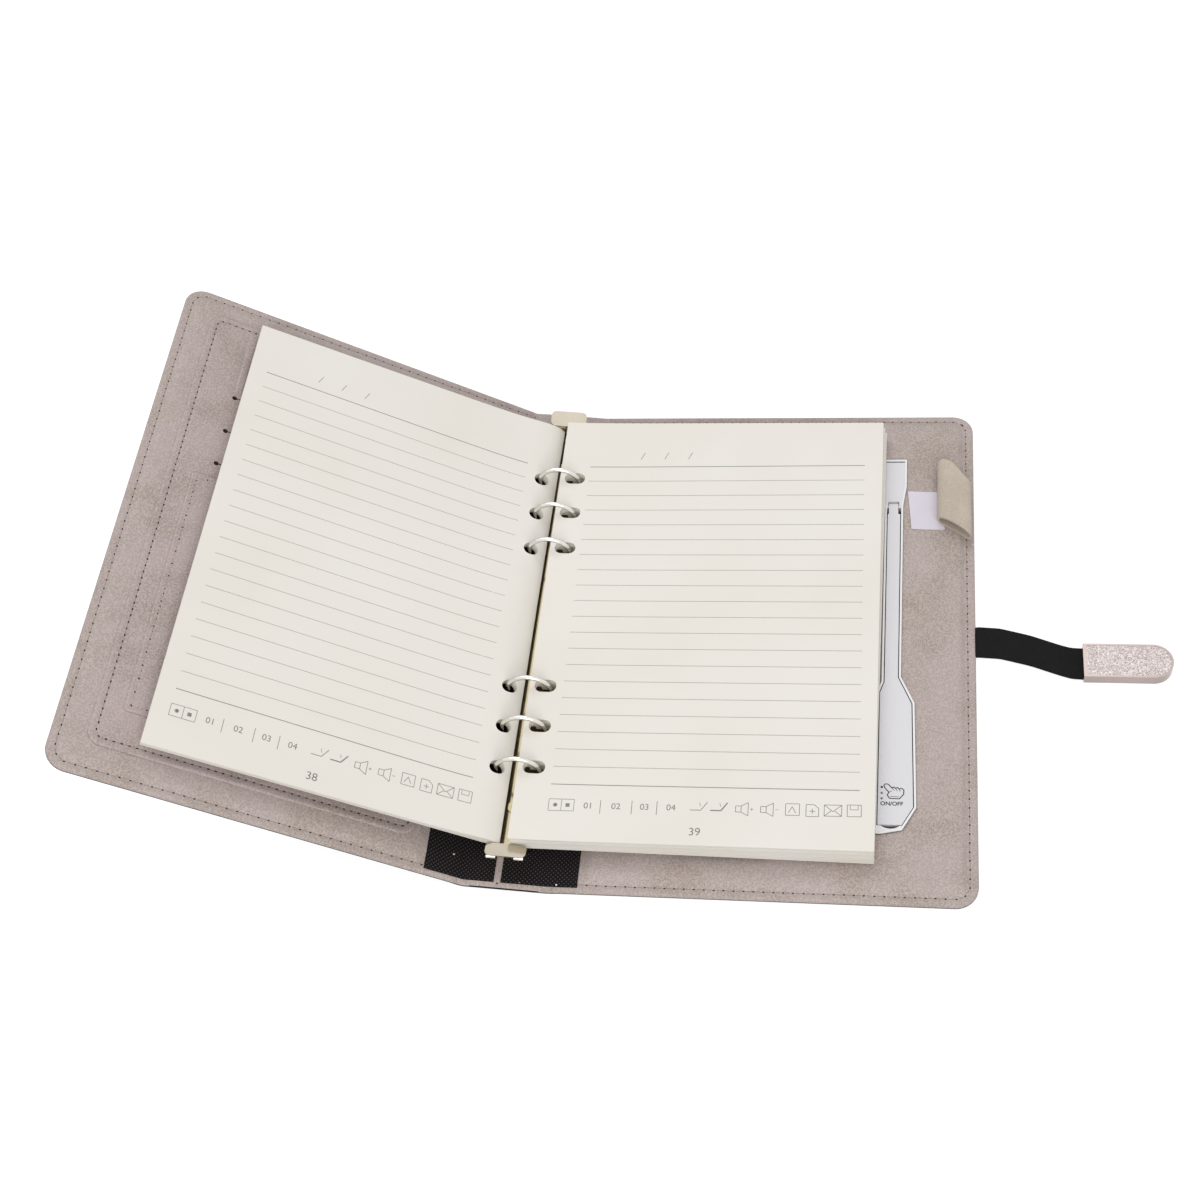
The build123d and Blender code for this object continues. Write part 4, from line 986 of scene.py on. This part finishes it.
def card_slot(start_x, end_x, y, half_width, end_radius):
    """A slot for a card: a slit that ends in a punched round hole, so that it does not tear.
    The slit meets the hole's circle at the angle asin(half width / radius)."""
    meeting = np.arcsin(half_width / end_radius)
    angle = np.linspace(meeting, 2 * pi - meeting, 14)
    hole = np.c_[start_x + end_radius * np.cos(angle), y + end_radius * np.sin(angle)]
    return divided(np.concatenate([[(end_x, y - half_width), (end_x, y + half_width)], hole]), 4.0, True)


CARD_SLOTS_Y = (67.6, 49.5, 32.1)
SLOT_START, SLOT_END = FREE_EDGE + 31.2, FREE_EDGE + 122.0
SLIT_HALF, PUNCH_RADIUS = 0.3, 1.1
card_slots = [card_slot(SLOT_START, SLOT_END, y, SLIT_HALF, PUNCH_RADIUS) for y in CARD_SLOTS_Y]
fold_strip = (FREE_EDGE + 30.6, FREE_EDGE + 33.8, 71.0, 104.0)
pocket("large_pocket", "large_pocket_panel", LARGE_S, LARGE_Y, LARGE_CORNER, FRONT_TOP, LARGE_SEAM,
       card_slots, fold_strip)
pocket("small_pocket", "small_pocket_panel", SMALL_S, SMALL_Y, SMALL_CORNER, FRONT_TOP + POCKET_THICK,
       SMALL_SEAM)

# A dark sheet under the card slots: painted shade, seen through the slots as their dark insides.
corners = box_corners(SLOT_START - 2.0, SLOT_END + 2.0, CARD_SLOTS_Y[2] - 3.0, CARD_SLOTS_Y[0] + 3.0)
shade_sheet_top, shade_sheet_under = flat_constant(FRONT_TOP + 0.014), flat_constant(FRONT_TOP + 0.004)
points, faces, _ = cut_sheet(rounded_loop(corners, 1.0, 4.0), shade_sheet_top, shade_sheet_under, (), 8.0)
slot_shade_sheet = new_piece("card_slot_shade", on_front(points), faces, "front_cover", slot_shade_cloth)

# %% [markdown]
# ## Hinge strips
#
# Two strips of black woven tape cover the folds beside the rings. The tape has small light dots in a
# slanting grid. Each strip lies on two bodies and bends over the fold between them.

# %% Hinge strips
STRIP_Y = (-118.0, 103.0)
TAPE_UNDER, TAPE_TOP = 2.02, 2.3


def hinge_strip(name, node, fold, right_reach, left_reach, right_side, left_side):
    """A thin tape over a fold."""
    left_run = np.linspace(fold[0] - left_reach, fold[0] - 3, 6)
    bend = np.linspace(fold[0] - 3, fold[0] + 3, 13)
    right_run = np.linspace(fold[0] + 3, fold[0] + right_reach, 6)
    x_values = np.unique(np.r_[left_run, bend, right_run])
    y_values = np.linspace(*STRIP_Y, 60)
    section = plate_section(x_values, lambda x: 0 * x + TAPE_UNDER, lambda x: 0 * x + TAPE_TOP)
    points, faces = sheet_along(section, y_values)
    plan = points[:, :2].copy()
    points = bent_over(points, right_side, left_side, fold, 3.0)
    made = new_piece(name, points, faces, None, mesh_black, plan)
    start = right_side(np.array([[fold[0] + 3.0, 0, 2.2]]))[0] * MM
    end = left_side(np.array([[fold[0] - 3.0, 0, 2.2]]))[0] * MM
    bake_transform(made)
    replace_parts(made, node)


hinge_strip("right_fold_tape", "right_hinge_strip", BACK_FOLD, 12.6, 17.4, on_back, on_spine)
hinge_strip("left_fold_tape", "left_hinge_strip", FRONT_FOLD, 11.9, 16.5, on_spine, on_front)

# %% [markdown]
# ## Paper
#
# The sheets are held by six rings. The left stack leans on the rings with the front cover, and the right
# stack lies in three bundles. The rim of a stack is made of steps, as the leaves never end quite level,
# and its shader draws the leaves between them as darker stripes: painted shade in the gaps between the
# leaves, with their own uneven tone.

# %% Page stacks
PAGE_HALF = 105.0
RING_ROWS = (73.0, 54.0, 35.0, -35.0, -54.0, -73.0)
SLOT_HALF = 2.95
RING_CENTRE = (-97.325, 13.077)
LEFT_TILT = 30.29
LEFT_FACE, LEFT_UNDER = -3.54, -5.74
SWELLING, SWELLING_AT = 1.6, 6.0
LEAF_SPREAD = 0.11


def leaf_levels(count, spread):
    """The rim of a paper stack: steps going down, each shifted a little in or out."""
    shares = np.linspace(0, 1, count)
    shifts = chance.uniform(-spread, spread, count)
    shifts[[0, -1]] = 0
    return list(zip(shares.tolist(), shifts.tolist()))


def round_hole(x_low, x_high, y, half):
    """A slot with round ends; if it is as long as wide it is a circle."""
    corners = box_corners(x_low, x_high, y - half, y + half)
    return rounded_loop(corners, min(half, (x_high - x_low) / 2) * 0.98)


def page_stack(name, node, outline, upper, lower, holes, place, body, count):
    """A bundle of sheets, whose rim has this count of steps."""
    levels = leaf_levels(count, LEAF_SPREAD)
    points, faces, depth = cut_sheet(outline, upper, lower, holes, 6.0, (), levels)
    height = points[:, 2].copy()
    wall = ((depth > 0) & (depth < 1)).astype(float)
    made = new_piece(name, place(points), faces, body, cream_paper, crease=30,
                     extra={"thickness": height, "wall": wall})
    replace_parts(made, node)


def right_top(flat):
    """The face of the open right page: it sinks from the rings and is level towards the edge."""
    return 15.6 + 0.9 * np.exp(-(flat[:, 0] + 96.64) / 12.0)


def slope(low_left, low_right, left_x, right_x):
    """A height that changes evenly between two places along X."""
    return lambda flat: low_left + (low_right - low_left) * (flat[:, 0] - left_x) / (right_x - left_x)


def page_outline(left_x, right_x, lean=0.0, slot_end=None):
    """A page's outline with hardly rounded corners. It leans: its upper edge sits this much further right.
    Where a slot's end is given, the ring holes are slots that are open at the left edge, and round inside."""
    corners = box_corners(left_x, right_x, -PAGE_HALF, PAGE_HALF)
    radii = [0.3] * 4
    for y in RING_ROWS if slot_end else ():
        above, below = y + SLOT_HALF, y - SLOT_HALF
        corners += [(left_x, above), (slot_end, above), (slot_end, below), (left_x, below)]
        radii += [0, SLOT_HALF * 0.98, SLOT_HALF * 0.98, 0]
    outline = rounded_loop(corners, radii, 4.0)
    outline[:, 0] += lean * (outline[:, 1] + PAGE_HALF) / (2 * PAGE_HALF)
    return outline


upper_holes = [round_hole(-94.7, -85.7, y, SLOT_HALF) for y in RING_ROWS]
page_stack("upper_right_pages", "right_pages_upper", page_outline(-96.64, 43.56), right_top,
           slope(13.0, 12.2, -96.64, 43.56), upper_holes, on_back, "right_pages_upper", 12)
page_stack("middle_right_pages", "right_pages_middle", page_outline(-96.2, 43.15, 1.2, -85.5),
           slope(12.85, 12.05, -95.94, 43.7),
           slope(10.65, 8.85, -95.94, 43.7), (), on_back, "right_pages_middle", 12)
page_stack("lower_right_pages", "right_pages_lower", page_outline(-93.5, 43.5, 1.5, -85.6),
           slope(10.5, 8.7, -93.5, 43.8),
           slope(8.6, 5.3, -93.5, 43.8), (), on_back, "right_pages_lower", 12)


def on_left_page(points):
    """From the left stack's own plan to the notebook: x is minus the distance from the ring centre, z the
    height above the plane through it. The stack then leans by its tilt."""
    moved = points.copy()
    moved[:, 0] += RING_CENTRE[0]
    moved[:, 2] += RING_CENTRE[1]
    return turn_about(moved, RING_CENTRE, LEFT_TILT)


def left_top(flat):
    """The face of the open left page. It swells where the sheets ride up on the rings, as t e^(1 - t)."""
    from_centre = np.maximum(-flat[:, 0] - 1.0, 0) / SWELLING_AT
    return LEFT_FACE + SWELLING * from_centre * np.exp(1 - from_centre)


left_outline = page_outline(-144.08, -2.08, 2.0)
left_holes = [round_hole(-11.2, -4.6, y, 2.9) for y in RING_ROWS]
page_stack("left_page_stack", "left_pages", left_outline, left_top, flat_constant(LEFT_UNDER), left_holes,
           on_left_page, "left_pages", 14)

# %% [markdown]
# ## What is printed on the pages
#
# Both open pages have the same printed grid: a heading line, ruled lines 8 mm apart, a footer line, and a
# row of small signs with the page number under it. Everything is drawn once in the print's own plan, as
# thin strips, and laid on each page a hair above the paper.

# %% Print
LINE_PITCH = 8.0
LINE_LENGTH = 120.0
RULED_LINES = 19


def strip_faces(path, width, spacing=5.0):
    """A line drawn as a strip: each run of the path becomes squares as wide as the line."""
    path = divided(np.array(path, float), spacing)
    way = np.diff(path, axis=0)
    way /= np.linalg.norm(way, axis=1)[:, None]
    side = np.stack([-way[:, 1], way[:, 0]], axis=1) * width / 2
    start, end = path[:-1], path[1:]
    return np.stack([start - side, end - side, end + side, start + side], axis=1).reshape(-1, 2)


def circle(x, y, radius, count=20):
    """A circle as a closed path."""
    angle = np.linspace(0, 2 * pi, count + 1)
    return np.c_[x + radius * np.cos(angle), y + radius * np.sin(angle)]


def box_path(x_low, x_high, y_low, y_high):
    """A rectangle as a closed path."""
    corners = box_corners(x_low, x_high, y_low, y_high)
    return corners + corners[:1]


def lettering(text, x, y, height, bold=0.0):
    """Words as a flat net of triangles, centred on a place, with the given height of their capitals."""
    curve = bpy.data.curves.new("words", "FONT")
    curve.body = text
    curve.offset = bold
    curve.align_x = "CENTER"
    shape = bpy.data.objects.new("words", curve)
    scene.collection.objects.link(shape)
    bpy.context.view_layer.update()
    mesh = bpy.data.meshes.new_from_object(shape.evaluated_get(bpy.context.evaluated_depsgraph_get()))
    bpy.data.objects.remove(shape)
    mesh.calc_loop_triangles()
    points = np.zeros(len(mesh.vertices) * 3)
    mesh.vertices.foreach_get("co", points)
    points = points.reshape(-1, 3)[:, :2]
    triangles = np.zeros(len(mesh.loop_triangles) * 3, int)
    mesh.loop_triangles.foreach_get("vertices", triangles)
    bpy.data.meshes.remove(mesh)
    low, high = points.min(0), points.max(0)
    points = (points - (low + high) / 2) * height / (high[1] - low[1])
    return points + np.array([x, y]), triangles.reshape(-1, 3)


def page_lines(number):
    """All the paths of a page's print: pale lines, dark lines, and signs, each with its width."""
    pale = [([(0, -LINE_PITCH * k), (LINE_LENGTH, -LINE_PITCH * k)], 0.26) for k in range(1, RULED_LINES + 1)]
    foot = -LINE_PITCH * (RULED_LINES + 1)
    dark = [([(0, 0), (LINE_LENGTH, 0)], 0.32), ([(0, foot), (LINE_LENGTH, foot)], 0.32)]
    for x in (23.0, 33.5, 44.0):
        dark.append(([(x - 0.8, 4.2), (x + 0.8, 8.0)], 0.25))
    row_low, row_high = foot - 11.7, foot - 6.6
    middle = (row_low + row_high) / 2
    dark.append((box_path(0, 10, row_low, row_high), 0.22))
    dark.append(([(5, row_low), (5, row_high)], 0.22))
    dark.append((circle(2.6, middle, 0.45), 0.9))
    dark.append(([(6.7, middle), (8.3, middle)], 1.6))
    for x in (20.4, 32.7, 42.5):
        dark.append(([(x, row_low - 0.9), (x, row_high)], 0.25))
    for x, width in ((55.4, 0.3), (63.2, 0.5)):
        dark.append(([(x, middle - 0.9), (x + 4.2, middle - 0.9), (x + 6.6, middle + 2.6)], width))
        dark.append(([(x + 3.6, middle + 2.4), (x + 4.0, middle + 0.8)], 0.2))
    for x, sign in ((73.0, 1), (82.6, -1)):
        dark.append((box_path(x, x + 2.1, middle - 1.3, middle + 1.3), 0.25))
        horn = [(x + dx, middle + dy) for dx, dy in ((2.1, -1.3), (4.8, -2.9), (4.8, 2.9), (2.1, 1.3))]
        dark.append((horn, 0.25))
        dark.append(([(x + 5.6, middle), (x + 6.8, middle)], 0.2))
        if sign > 0:
            dark.append(([(x + 6.2, middle - 0.6), (x + 6.2, middle + 0.6)], 0.2))
    page = [(99.9, row_low), (104.7, row_low), (104.7, middle + 1.0), (103.0, row_high), (99.9, row_high),
            (99.9, row_low)]
    dark += [
        (box_path(92.1, 97.4, row_low + 0.3, row_high + 0.2), 0.25),
        ([(93.2, middle - 1.2), (94.6, middle + 1.5), (96.0, middle - 1.2)], 0.25),
        (page, 0.25),
        ([(101.2, middle - 0.3), (103.4, middle - 0.3)], 0.25),
        ([(102.3, middle - 1.4), (102.3, middle + 0.8)], 0.25),
        (box_path(106.8, 113.4, row_low + 0.3, row_high), 0.25),
        ([(106.8, row_high), (110.1, middle - 0.3), (113.4, row_high)], 0.25),
        ([(106.8, row_low + 0.3), (109.4, middle)], 0.25),
        ([(113.4, row_low + 0.3), (110.8, middle)], 0.25),
        (box_path(115.5, 120.8, row_low + 0.3, row_high + 0.2), 0.25),
        ([(116.6, row_high), (116.6, middle + 0.7), (119.6, middle + 0.7), (119.6, row_high)], 0.22),
    ]
    labels = (("01", 15.3), ("02", 26.5), ("03", 37.6), ("04", 48.0))
    words = [lettering(label, x, middle, 2.6) for label, x in labels]
    words.append(lettering(number, 57.8, foot - 19.4, 3.3))
    return pale, dark, words


def ink_net(lines, words, spacing=5.0):
    """Strips and words as one flat net: its points and its faces."""
    flat = np.concatenate([strip_faces(path, width, spacing) for path, width in lines])
    faces = [np.arange(len(flat)).reshape(-1, 4)]
    for points, triangles in words:
        faces.append(triangles + len(flat))
        flat = np.concatenate([flat, points])
    return flat, faces


def lay_ink(name, flat, faces, height, place, body, ink):
    """Lays a flat net of ink on a surface, facing up."""
    made = new_piece(name, place(np.c_[flat, height]), faces, body, ink)
    normals = np.zeros(len(made.data.polygons) * 3)
    made.data.polygons.foreach_get("normal", normals)
    if normals.reshape(-1, 3)[:, 2].mean() < 0:
        made.data.flip_normals()


def print_page(name, number, start, degrees, upper, place, body):
    """Lays the print on a page: it is turned a little, as printed sheets never sit quite square."""
    turn = radians(degrees)
    pale, dark, words = page_lines(number)
    layers = (("pale", pale, [], print_ink, 0.02), ("dark", dark, words, dark_ink, 0.025))
    for label, lines, text, ink, lift in layers:
        flat, faces = ink_net(lines, text)
        x, y = flat.T
        flat = np.c_[x * cos(turn) - y * sin(turn), x * sin(turn) + y * cos(turn)] + np.array(start)
        lay_ink(f"{name}_{label}_print", flat, faces, upper(flat) + lift, place, body, ink)


print_page("right_page", "39", (-84.0, 79.65), 0.55, right_top, on_back, "right_pages_upper")
print_page("left_page", "38", (-135.18, 80.9), -0.6, left_top, on_left_page, "left_pages")

# %% [markdown]
# ## Strap
#
# A strap of black imitation leather closes the book. It is sewn into the edge of the back cover and ends
# inside the metal clasp. It is one closed section carried along a curved line, in two halves that meet
# between the cover's edge and the clasp.

# %% Strap
STRAP_HALF = 7.3


def strap_line(x):
    """The strap's middle line in plan, a smooth curve through a few measured places."""
    knots = np.array([(76.0, -0.6), (83.4, -0.6), (92.2, -1.1), (104.2, -4.3), (115.8, -8.7), (120.2, -10.1),
                      (131.0, -10.6)])
    fine = np.linspace(knots[0, 0], knots[-1, 0], 400)
    rough = np.interp(fine, knots[:, 0], knots[:, 1])
    kernel = np.hanning(41)
    padded = np.r_[np.full(20, rough[0]), rough, np.full(20, rough[-1])]
    return np.interp(x, fine, np.convolve(padded, kernel / kernel.sum(), "valid"))


def strap_half(name, x_values, low, high, nodes):
    """A run of strap. Its section is a flat oval-cornered band with a shallow groove near each edge."""
    around = 44
    angle = np.linspace(0, 2 * pi, around, endpoint=False)
    across = np.sign(np.cos(angle)) * np.abs(np.cos(angle)) ** 0.25 * STRAP_HALF
    thick = np.sign(np.sin(angle)) * np.abs(np.sin(angle)) ** 0.5
    x = np.asarray(x_values)[:, None]
    middle = (low(x) + high(x)) / 2
    half = (high(x) - low(x)) / 2
    groove = 0.12 * np.exp(-((np.abs(across) - STRAP_HALF + 1.6) / 0.35) ** 2) * (thick > 0)
    rings = np.zeros((len(x), around, 3))
    rings[:, :, 0] = x
    rings[:, :, 1] = strap_line(x) + across
    rings[:, :, 2] = middle + half * thick - groove
    points, faces = carried(rings)
    made = new_piece(name, points, faces, None, black_strap, crease=60)
    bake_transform(made)
    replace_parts(made, *nodes)


def root_low(x):
    """The underside of the strap: it lies on the outer leather inside the cover."""
    return 0.5 + 0.22 * (x < 82.6)


def root_high(x):
    """The top of the strap: pressed thin inside the cover."""
    return 2.3 - 0.62 * (1 - smooth(x, 82.0, 84.0))


cover_run = np.r_[np.linspace(77, 82, 4), np.linspace(82.4, 87, 12), np.linspace(88.5, 102, 10)]
clasp_run = np.r_[np.linspace(102, 116, 10), np.linspace(117, 124, 14), np.linspace(126, 131, 3)]
strap_half("strap_near_cover", cover_run, root_low, root_high,
           ["strap_root"])
strap_half("strap_near_clasp", clasp_run, lambda x: 0.5 + 0 * x, lambda x: 2.3 + 0 * x,
           ["strap_middle", "strap_end"])

# %% [markdown]
# ## Pen loop and tag
#
# A pen slides into a flattened tube of soft beige stuff beside the lamp. Both of its ends are cut on a
# slant. Under it lies a blank label.

# %% Pen loop
LOOP_X = (66.9, 81.4)
LOOP_Z = (4.25, 10.65)
LOOP_WALL = 0.9


def loop_top(x):
    """Where the loop's upper end is cut, along Y."""
    places = [66.46, 67.4, 68.9, 70.6, 73.4, 75.6, 77.4, 81.46]
    return np.interp(x, places, [86.6, 88.5, 89.1, 88.5, 86.8, 83.6, 80.9, 76.1])


def loop_bottom(x):
    """Where the loop's mouth is cut, along Y."""
    share = (x - LOOP_X[0]) / (LOOP_X[1] - LOOP_X[0])
    return 58.4 - 10.4 * share + 0.7 * np.sin(pi * share)


around = 72
along = 30
angle = np.linspace(0, 2 * pi, around, endpoint=False)


def loop_section(inset):
    """The flattened tube's section: an oval whose corners are fuller than an ellipse."""
    half_wide = (LOOP_X[1] - LOOP_X[0]) / 2 - inset
    half_tall = (LOOP_Z[1] - LOOP_Z[0]) / 2 - inset
    x = sum(LOOP_X) / 2 + half_wide * np.sign(np.cos(angle)) * np.abs(np.cos(angle)) ** 0.75
    z = sum(LOOP_Z) / 2 + half_tall * np.sign(np.sin(angle)) * np.abs(np.sin(angle)) ** 0.8
    return x, z


share = np.linspace(0, 1, along)[:, None]
layers = []
for inset, order in ((0.0, 1), (LOOP_WALL, -1)):
    x, z = loop_section(inset)
    y = loop_bottom(x) + (loop_top(x) - loop_bottom(x)) * share
    ring = np.zeros((along, around, 3))
    ring[:, :, 0] = x
    ring[:, :, 1] = y
    ring[:, :, 2] = z
    layers.append(ring[::order])
points, faces = carried(np.concatenate(layers), False)
ends = (2 * along - 1) * around + np.arange(around)
start = np.arange(around)
faces.append(np.stack([ends, np.roll(ends, -1), np.roll(start, -1), start], axis=1))
pen_loop = new_piece("beige_pen_loop", points, faces, "back_cover", beige, crease=50)
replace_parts(pen_loop, "pen_loop")

TAG_THICK = 0.18
TAG = [(56.16, 55.1), (70.26, 55.0), (66.86, 75.3), (54.51, 75.5)]
tag_outline = rounded_loop(TAG, 0.3, 1.5)


def tag_top(flat):
    """The label lies flat under the loop and lifts a little at its free corner."""
    return 4.22 + 0.35 * smooth(66 - flat[:, 0], 0, 12) ** 2


points, faces, _ = cut_sheet(tag_outline, tag_top, lambda flat: tag_top(flat) - TAG_THICK, (), 2.0)
tag = new_piece("blank_label", points, faces, "back_cover", tag_white, crease=30)
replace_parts(tag, "blank_tag")

# %% [markdown]
# ## Seams
#
# Along every seam the needle leaves a small hole, drawn as a dark bead of painted shade, and between the
# holes the thread sinks into the leather. One hole and one piece of thread are drawn once and repeated along
# the seam's path.

# %% Seams
def bead(length, width, height, around=8, rings=3):
    """A flattened half egg: rings of points that shrink towards its top. Its rim is an ellipse."""
    angle = np.linspace(0, 2 * pi, around, endpoint=False)
    lift = np.linspace(-0.4, 1, rings + 1)[:-1]
    scale = np.sqrt(1 - np.clip(lift, 0, 1) ** 2)[:, None]
    x = np.cos(angle) * length / 2 * scale
    y = np.sin(angle) * width / 2 * scale
    z = np.broadcast_to((lift * height)[:, None], x.shape)
    points = np.concatenate([np.stack([x, y, z], axis=-1).reshape(-1, 3), [[0, 0, height]]])
    here = np.arange(around)
    beside = np.roll(here, -1)
    corners = np.stack([here, beside, around + beside, around + here], axis=1)
    quads = np.concatenate([corners + k * around for k in range(rings - 1)])
    last = (rings - 1) * around
    tip = np.stack([last + here, last + np.roll(here, -1), np.full(around, rings * around)], axis=1)
    return points, quads, tip, here[::-1][None]


def repeated(shape, places, ways, heights):
    """A small shape set at many places, each turned along its own direction."""
    points, *groups = shape
    turned_x = points[:, 0] * ways[:, :1] - points[:, 1] * ways[:, 1:]
    turned_y = points[:, 0] * ways[:, 1:] + points[:, 1] * ways[:, :1]
    lifted = points[:, 2] + heights[:, None]
    stack = np.stack([turned_x + places[:, :1], turned_y + places[:, 1:], lifted], axis=-1)
    shift = (np.arange(len(places)) * len(points))[:, None, None]
    return stack.reshape(-1, 3), [(group[None] + shift).reshape(-1, group.shape[-1]) for group in groups]


def sew(name, path, pitch, upper, place, body, hole=(1.0, 0.8), stitch_width=0.5, closed=False):
    """A seam: needle holes at an even pitch, drawn as dark beads of painted shade, and sunk thread between
    them.
    """
    places, ways = even_steps(np.array(path, float), pitch, closed)
    places = places + chance.normal(0, 0.06, places.shape)
    points, faces = repeated(bead(*hole, 0.05), places, ways, upper(places) + 0.02)
    new_piece(f"{name}_holes", place(points), faces, body, needle_hole_shade)
    between = (places[:-1] + places[1:]) / 2
    stitch = bead(pitch - hole[0], stitch_width, 0.1)
    points, faces = repeated(stitch, between, ways[:-1], upper(between) - 0.02)
    new_piece(f"{name}_thread", place(points), faces, body, thread)


def edge_seam(fold_x, free_x):
    """The seam path round a cover's three outer edges."""
    return rounded_loop(*panel_corners(fold_x, free_x, SEAM_INSET, 1.0))


BACK_PITCH, FRONT_PITCH = 3.8, 4.1
sew("back_cover_seam", edge_seam(BACK_FOLD[0], BACK_EDGE), BACK_PITCH, back_height, on_back, "back_cover")
sew("front_cover_seam", edge_seam(FRONT_FOLD[0], FREE_EDGE), FRONT_PITCH, front_height, on_front,
    "front_cover")


def pocket_seam(s_span, y_span, corner, inset):
    """The seam path round a pocket: closed, a little inside its edge."""
    return rounded_loop(pocket_corners(s_span, y_span, inset), max(corner - inset, 0.3))


POCKET_PITCH = 3.0
SUNK = 0.12
sew("large_pocket_seam", pocket_seam(LARGE_S, LARGE_Y, LARGE_CORNER, LARGE_SEAM), POCKET_PITCH,
    flat_constant(FRONT_TOP + POCKET_THICK - SUNK), on_front, "front_cover", (1.2, 0.95), 0.6, True)
sew("small_pocket_seam", pocket_seam(SMALL_S, SMALL_Y, SMALL_CORNER, SMALL_SEAM), POCKET_PITCH,
    flat_constant(FRONT_TOP + 2 * POCKET_THICK - SUNK), on_front, "front_cover", (1.2, 0.95), 0.6, True)

# %% [markdown]
# ## Loose thread ends
#
# Hand work leaves traces: a few knots of white thread stand out of the tapes, two thread ends show at the
# edge beside the pen loop, and two single needle holes were left empty. Like the seams' holes, these are
# dark beads of painted shade.

# %% Thread ends
KNOT_HEIGHT = 0.22
LOOSE_ENDS = [
    ("left_tape_knot", (-119.9, -108.8), TAPE_TOP, on_front, "front_cover", white_thread, (0.8, 0.7)),
    ("spine_tape_knot", (-92.55, -117.4), TAPE_TOP, on_spine, "spine", thread, (0.7, 0.5)),
    ("right_tape_knot", (-78.05, -117.2), TAPE_TOP, on_back, "back_cover", white_thread, (0.85, 0.75)),
    ("upper_edge_thread", (81.9, 74.0), 1.75, on_back, "back_cover", white_thread, (1.0, 0.4)),
    ("lower_edge_thread", (81.9, 49.0), 1.75, on_back, "back_cover", white_thread, (1.0, 0.4)),
    ("spine_needle_hole", (-101.1, -118.45), MARGIN_TOP - 0.02, on_spine, "spine", needle_hole_shade, (0.9, 0.7)),
    ("corner_needle_hole", (78.0, 114.8), MARGIN_TOP - 0.02, on_back, "back_cover", needle_hole_shade, (0.9, 0.8)),
]
for name, spot, height, place, body, material, size in LOOSE_ENDS:
    knot = bead(*size, KNOT_HEIGHT)
    points, faces = repeated(knot, np.array([spot]), np.array([(1.0, 0.0)]), np.array([height]))
    new_piece(name, place(points), faces, body, material)

# %% [markdown]
# ## Signs on the lamp
#
# The lamp has a touch switch. A pointing hand, three dots from dark to pale and the words of the switch
# are printed beside it.

# %% Signs on the lamp
LAMP_TOP = 4.6
INK_LIFT = 0.02


def printed_on_lamp(name, lines, words, ink):
    """Ink laid on the lamp's upper face."""
    flat, faces = ink_net(lines, words, 1.5)
    lay_ink(name, flat, faces, np.full(len(flat), LAMP_TOP + INK_LIFT), on_back, "lamp", ink)


palm = [
    (46.6, -70.4), (47.0, -71.6), (48.6, -73.4), (47.9, -74.6), (48.8, -76.1), (52.6, -76.2), (54.2, -74.2),
    (54.3, -72.3), (53.4, -71.5), (52.4, -71.9), (51.9, -71.2), (51.0, -71.6), (50.5, -71.0), (49.7, -71.5),
    (48.3, -69.9), (47.2, -69.7), (46.6, -70.4),
]
knuckles = [
    ([(49.7, -71.5), (50.6, -72.6)], 0.25), ([(51.0, -71.6), (51.8, -72.7)], 0.25),
    ([(52.4, -71.9), (53.0, -72.9)], 0.25), ([(48.6, -73.4), (49.6, -72.9)], 0.25),
    ([(49.0, -75.2), (52.4, -75.3)], 0.2),
]
TOUCH_DOTS = ((45.8, -71.2), (45.8, -73.8), (45.8, -76.2))
switch_word = lettering("ON/OFF", 49.7, -78.4, 1.8, 0.025)
dark_lines = [(np.array(palm), 0.42), *knuckles, (circle(*TOUCH_DOTS[0], 0.28), 0.56)]
printed_on_lamp("lamp_signs", dark_lines, [switch_word], switch_ink)
pale_dots = [(circle(*place, 0.28), 0.5) for place in TOUCH_DOTS[1:]]
printed_on_lamp("lamp_pale_signs", pale_dots, [], dark_ink)

low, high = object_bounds()
for name, box in (("CAD box", (*cad_low, *cad_high)), ("visual box", (*low, *high))):
    print(name, [round(v, 4) for v in box])
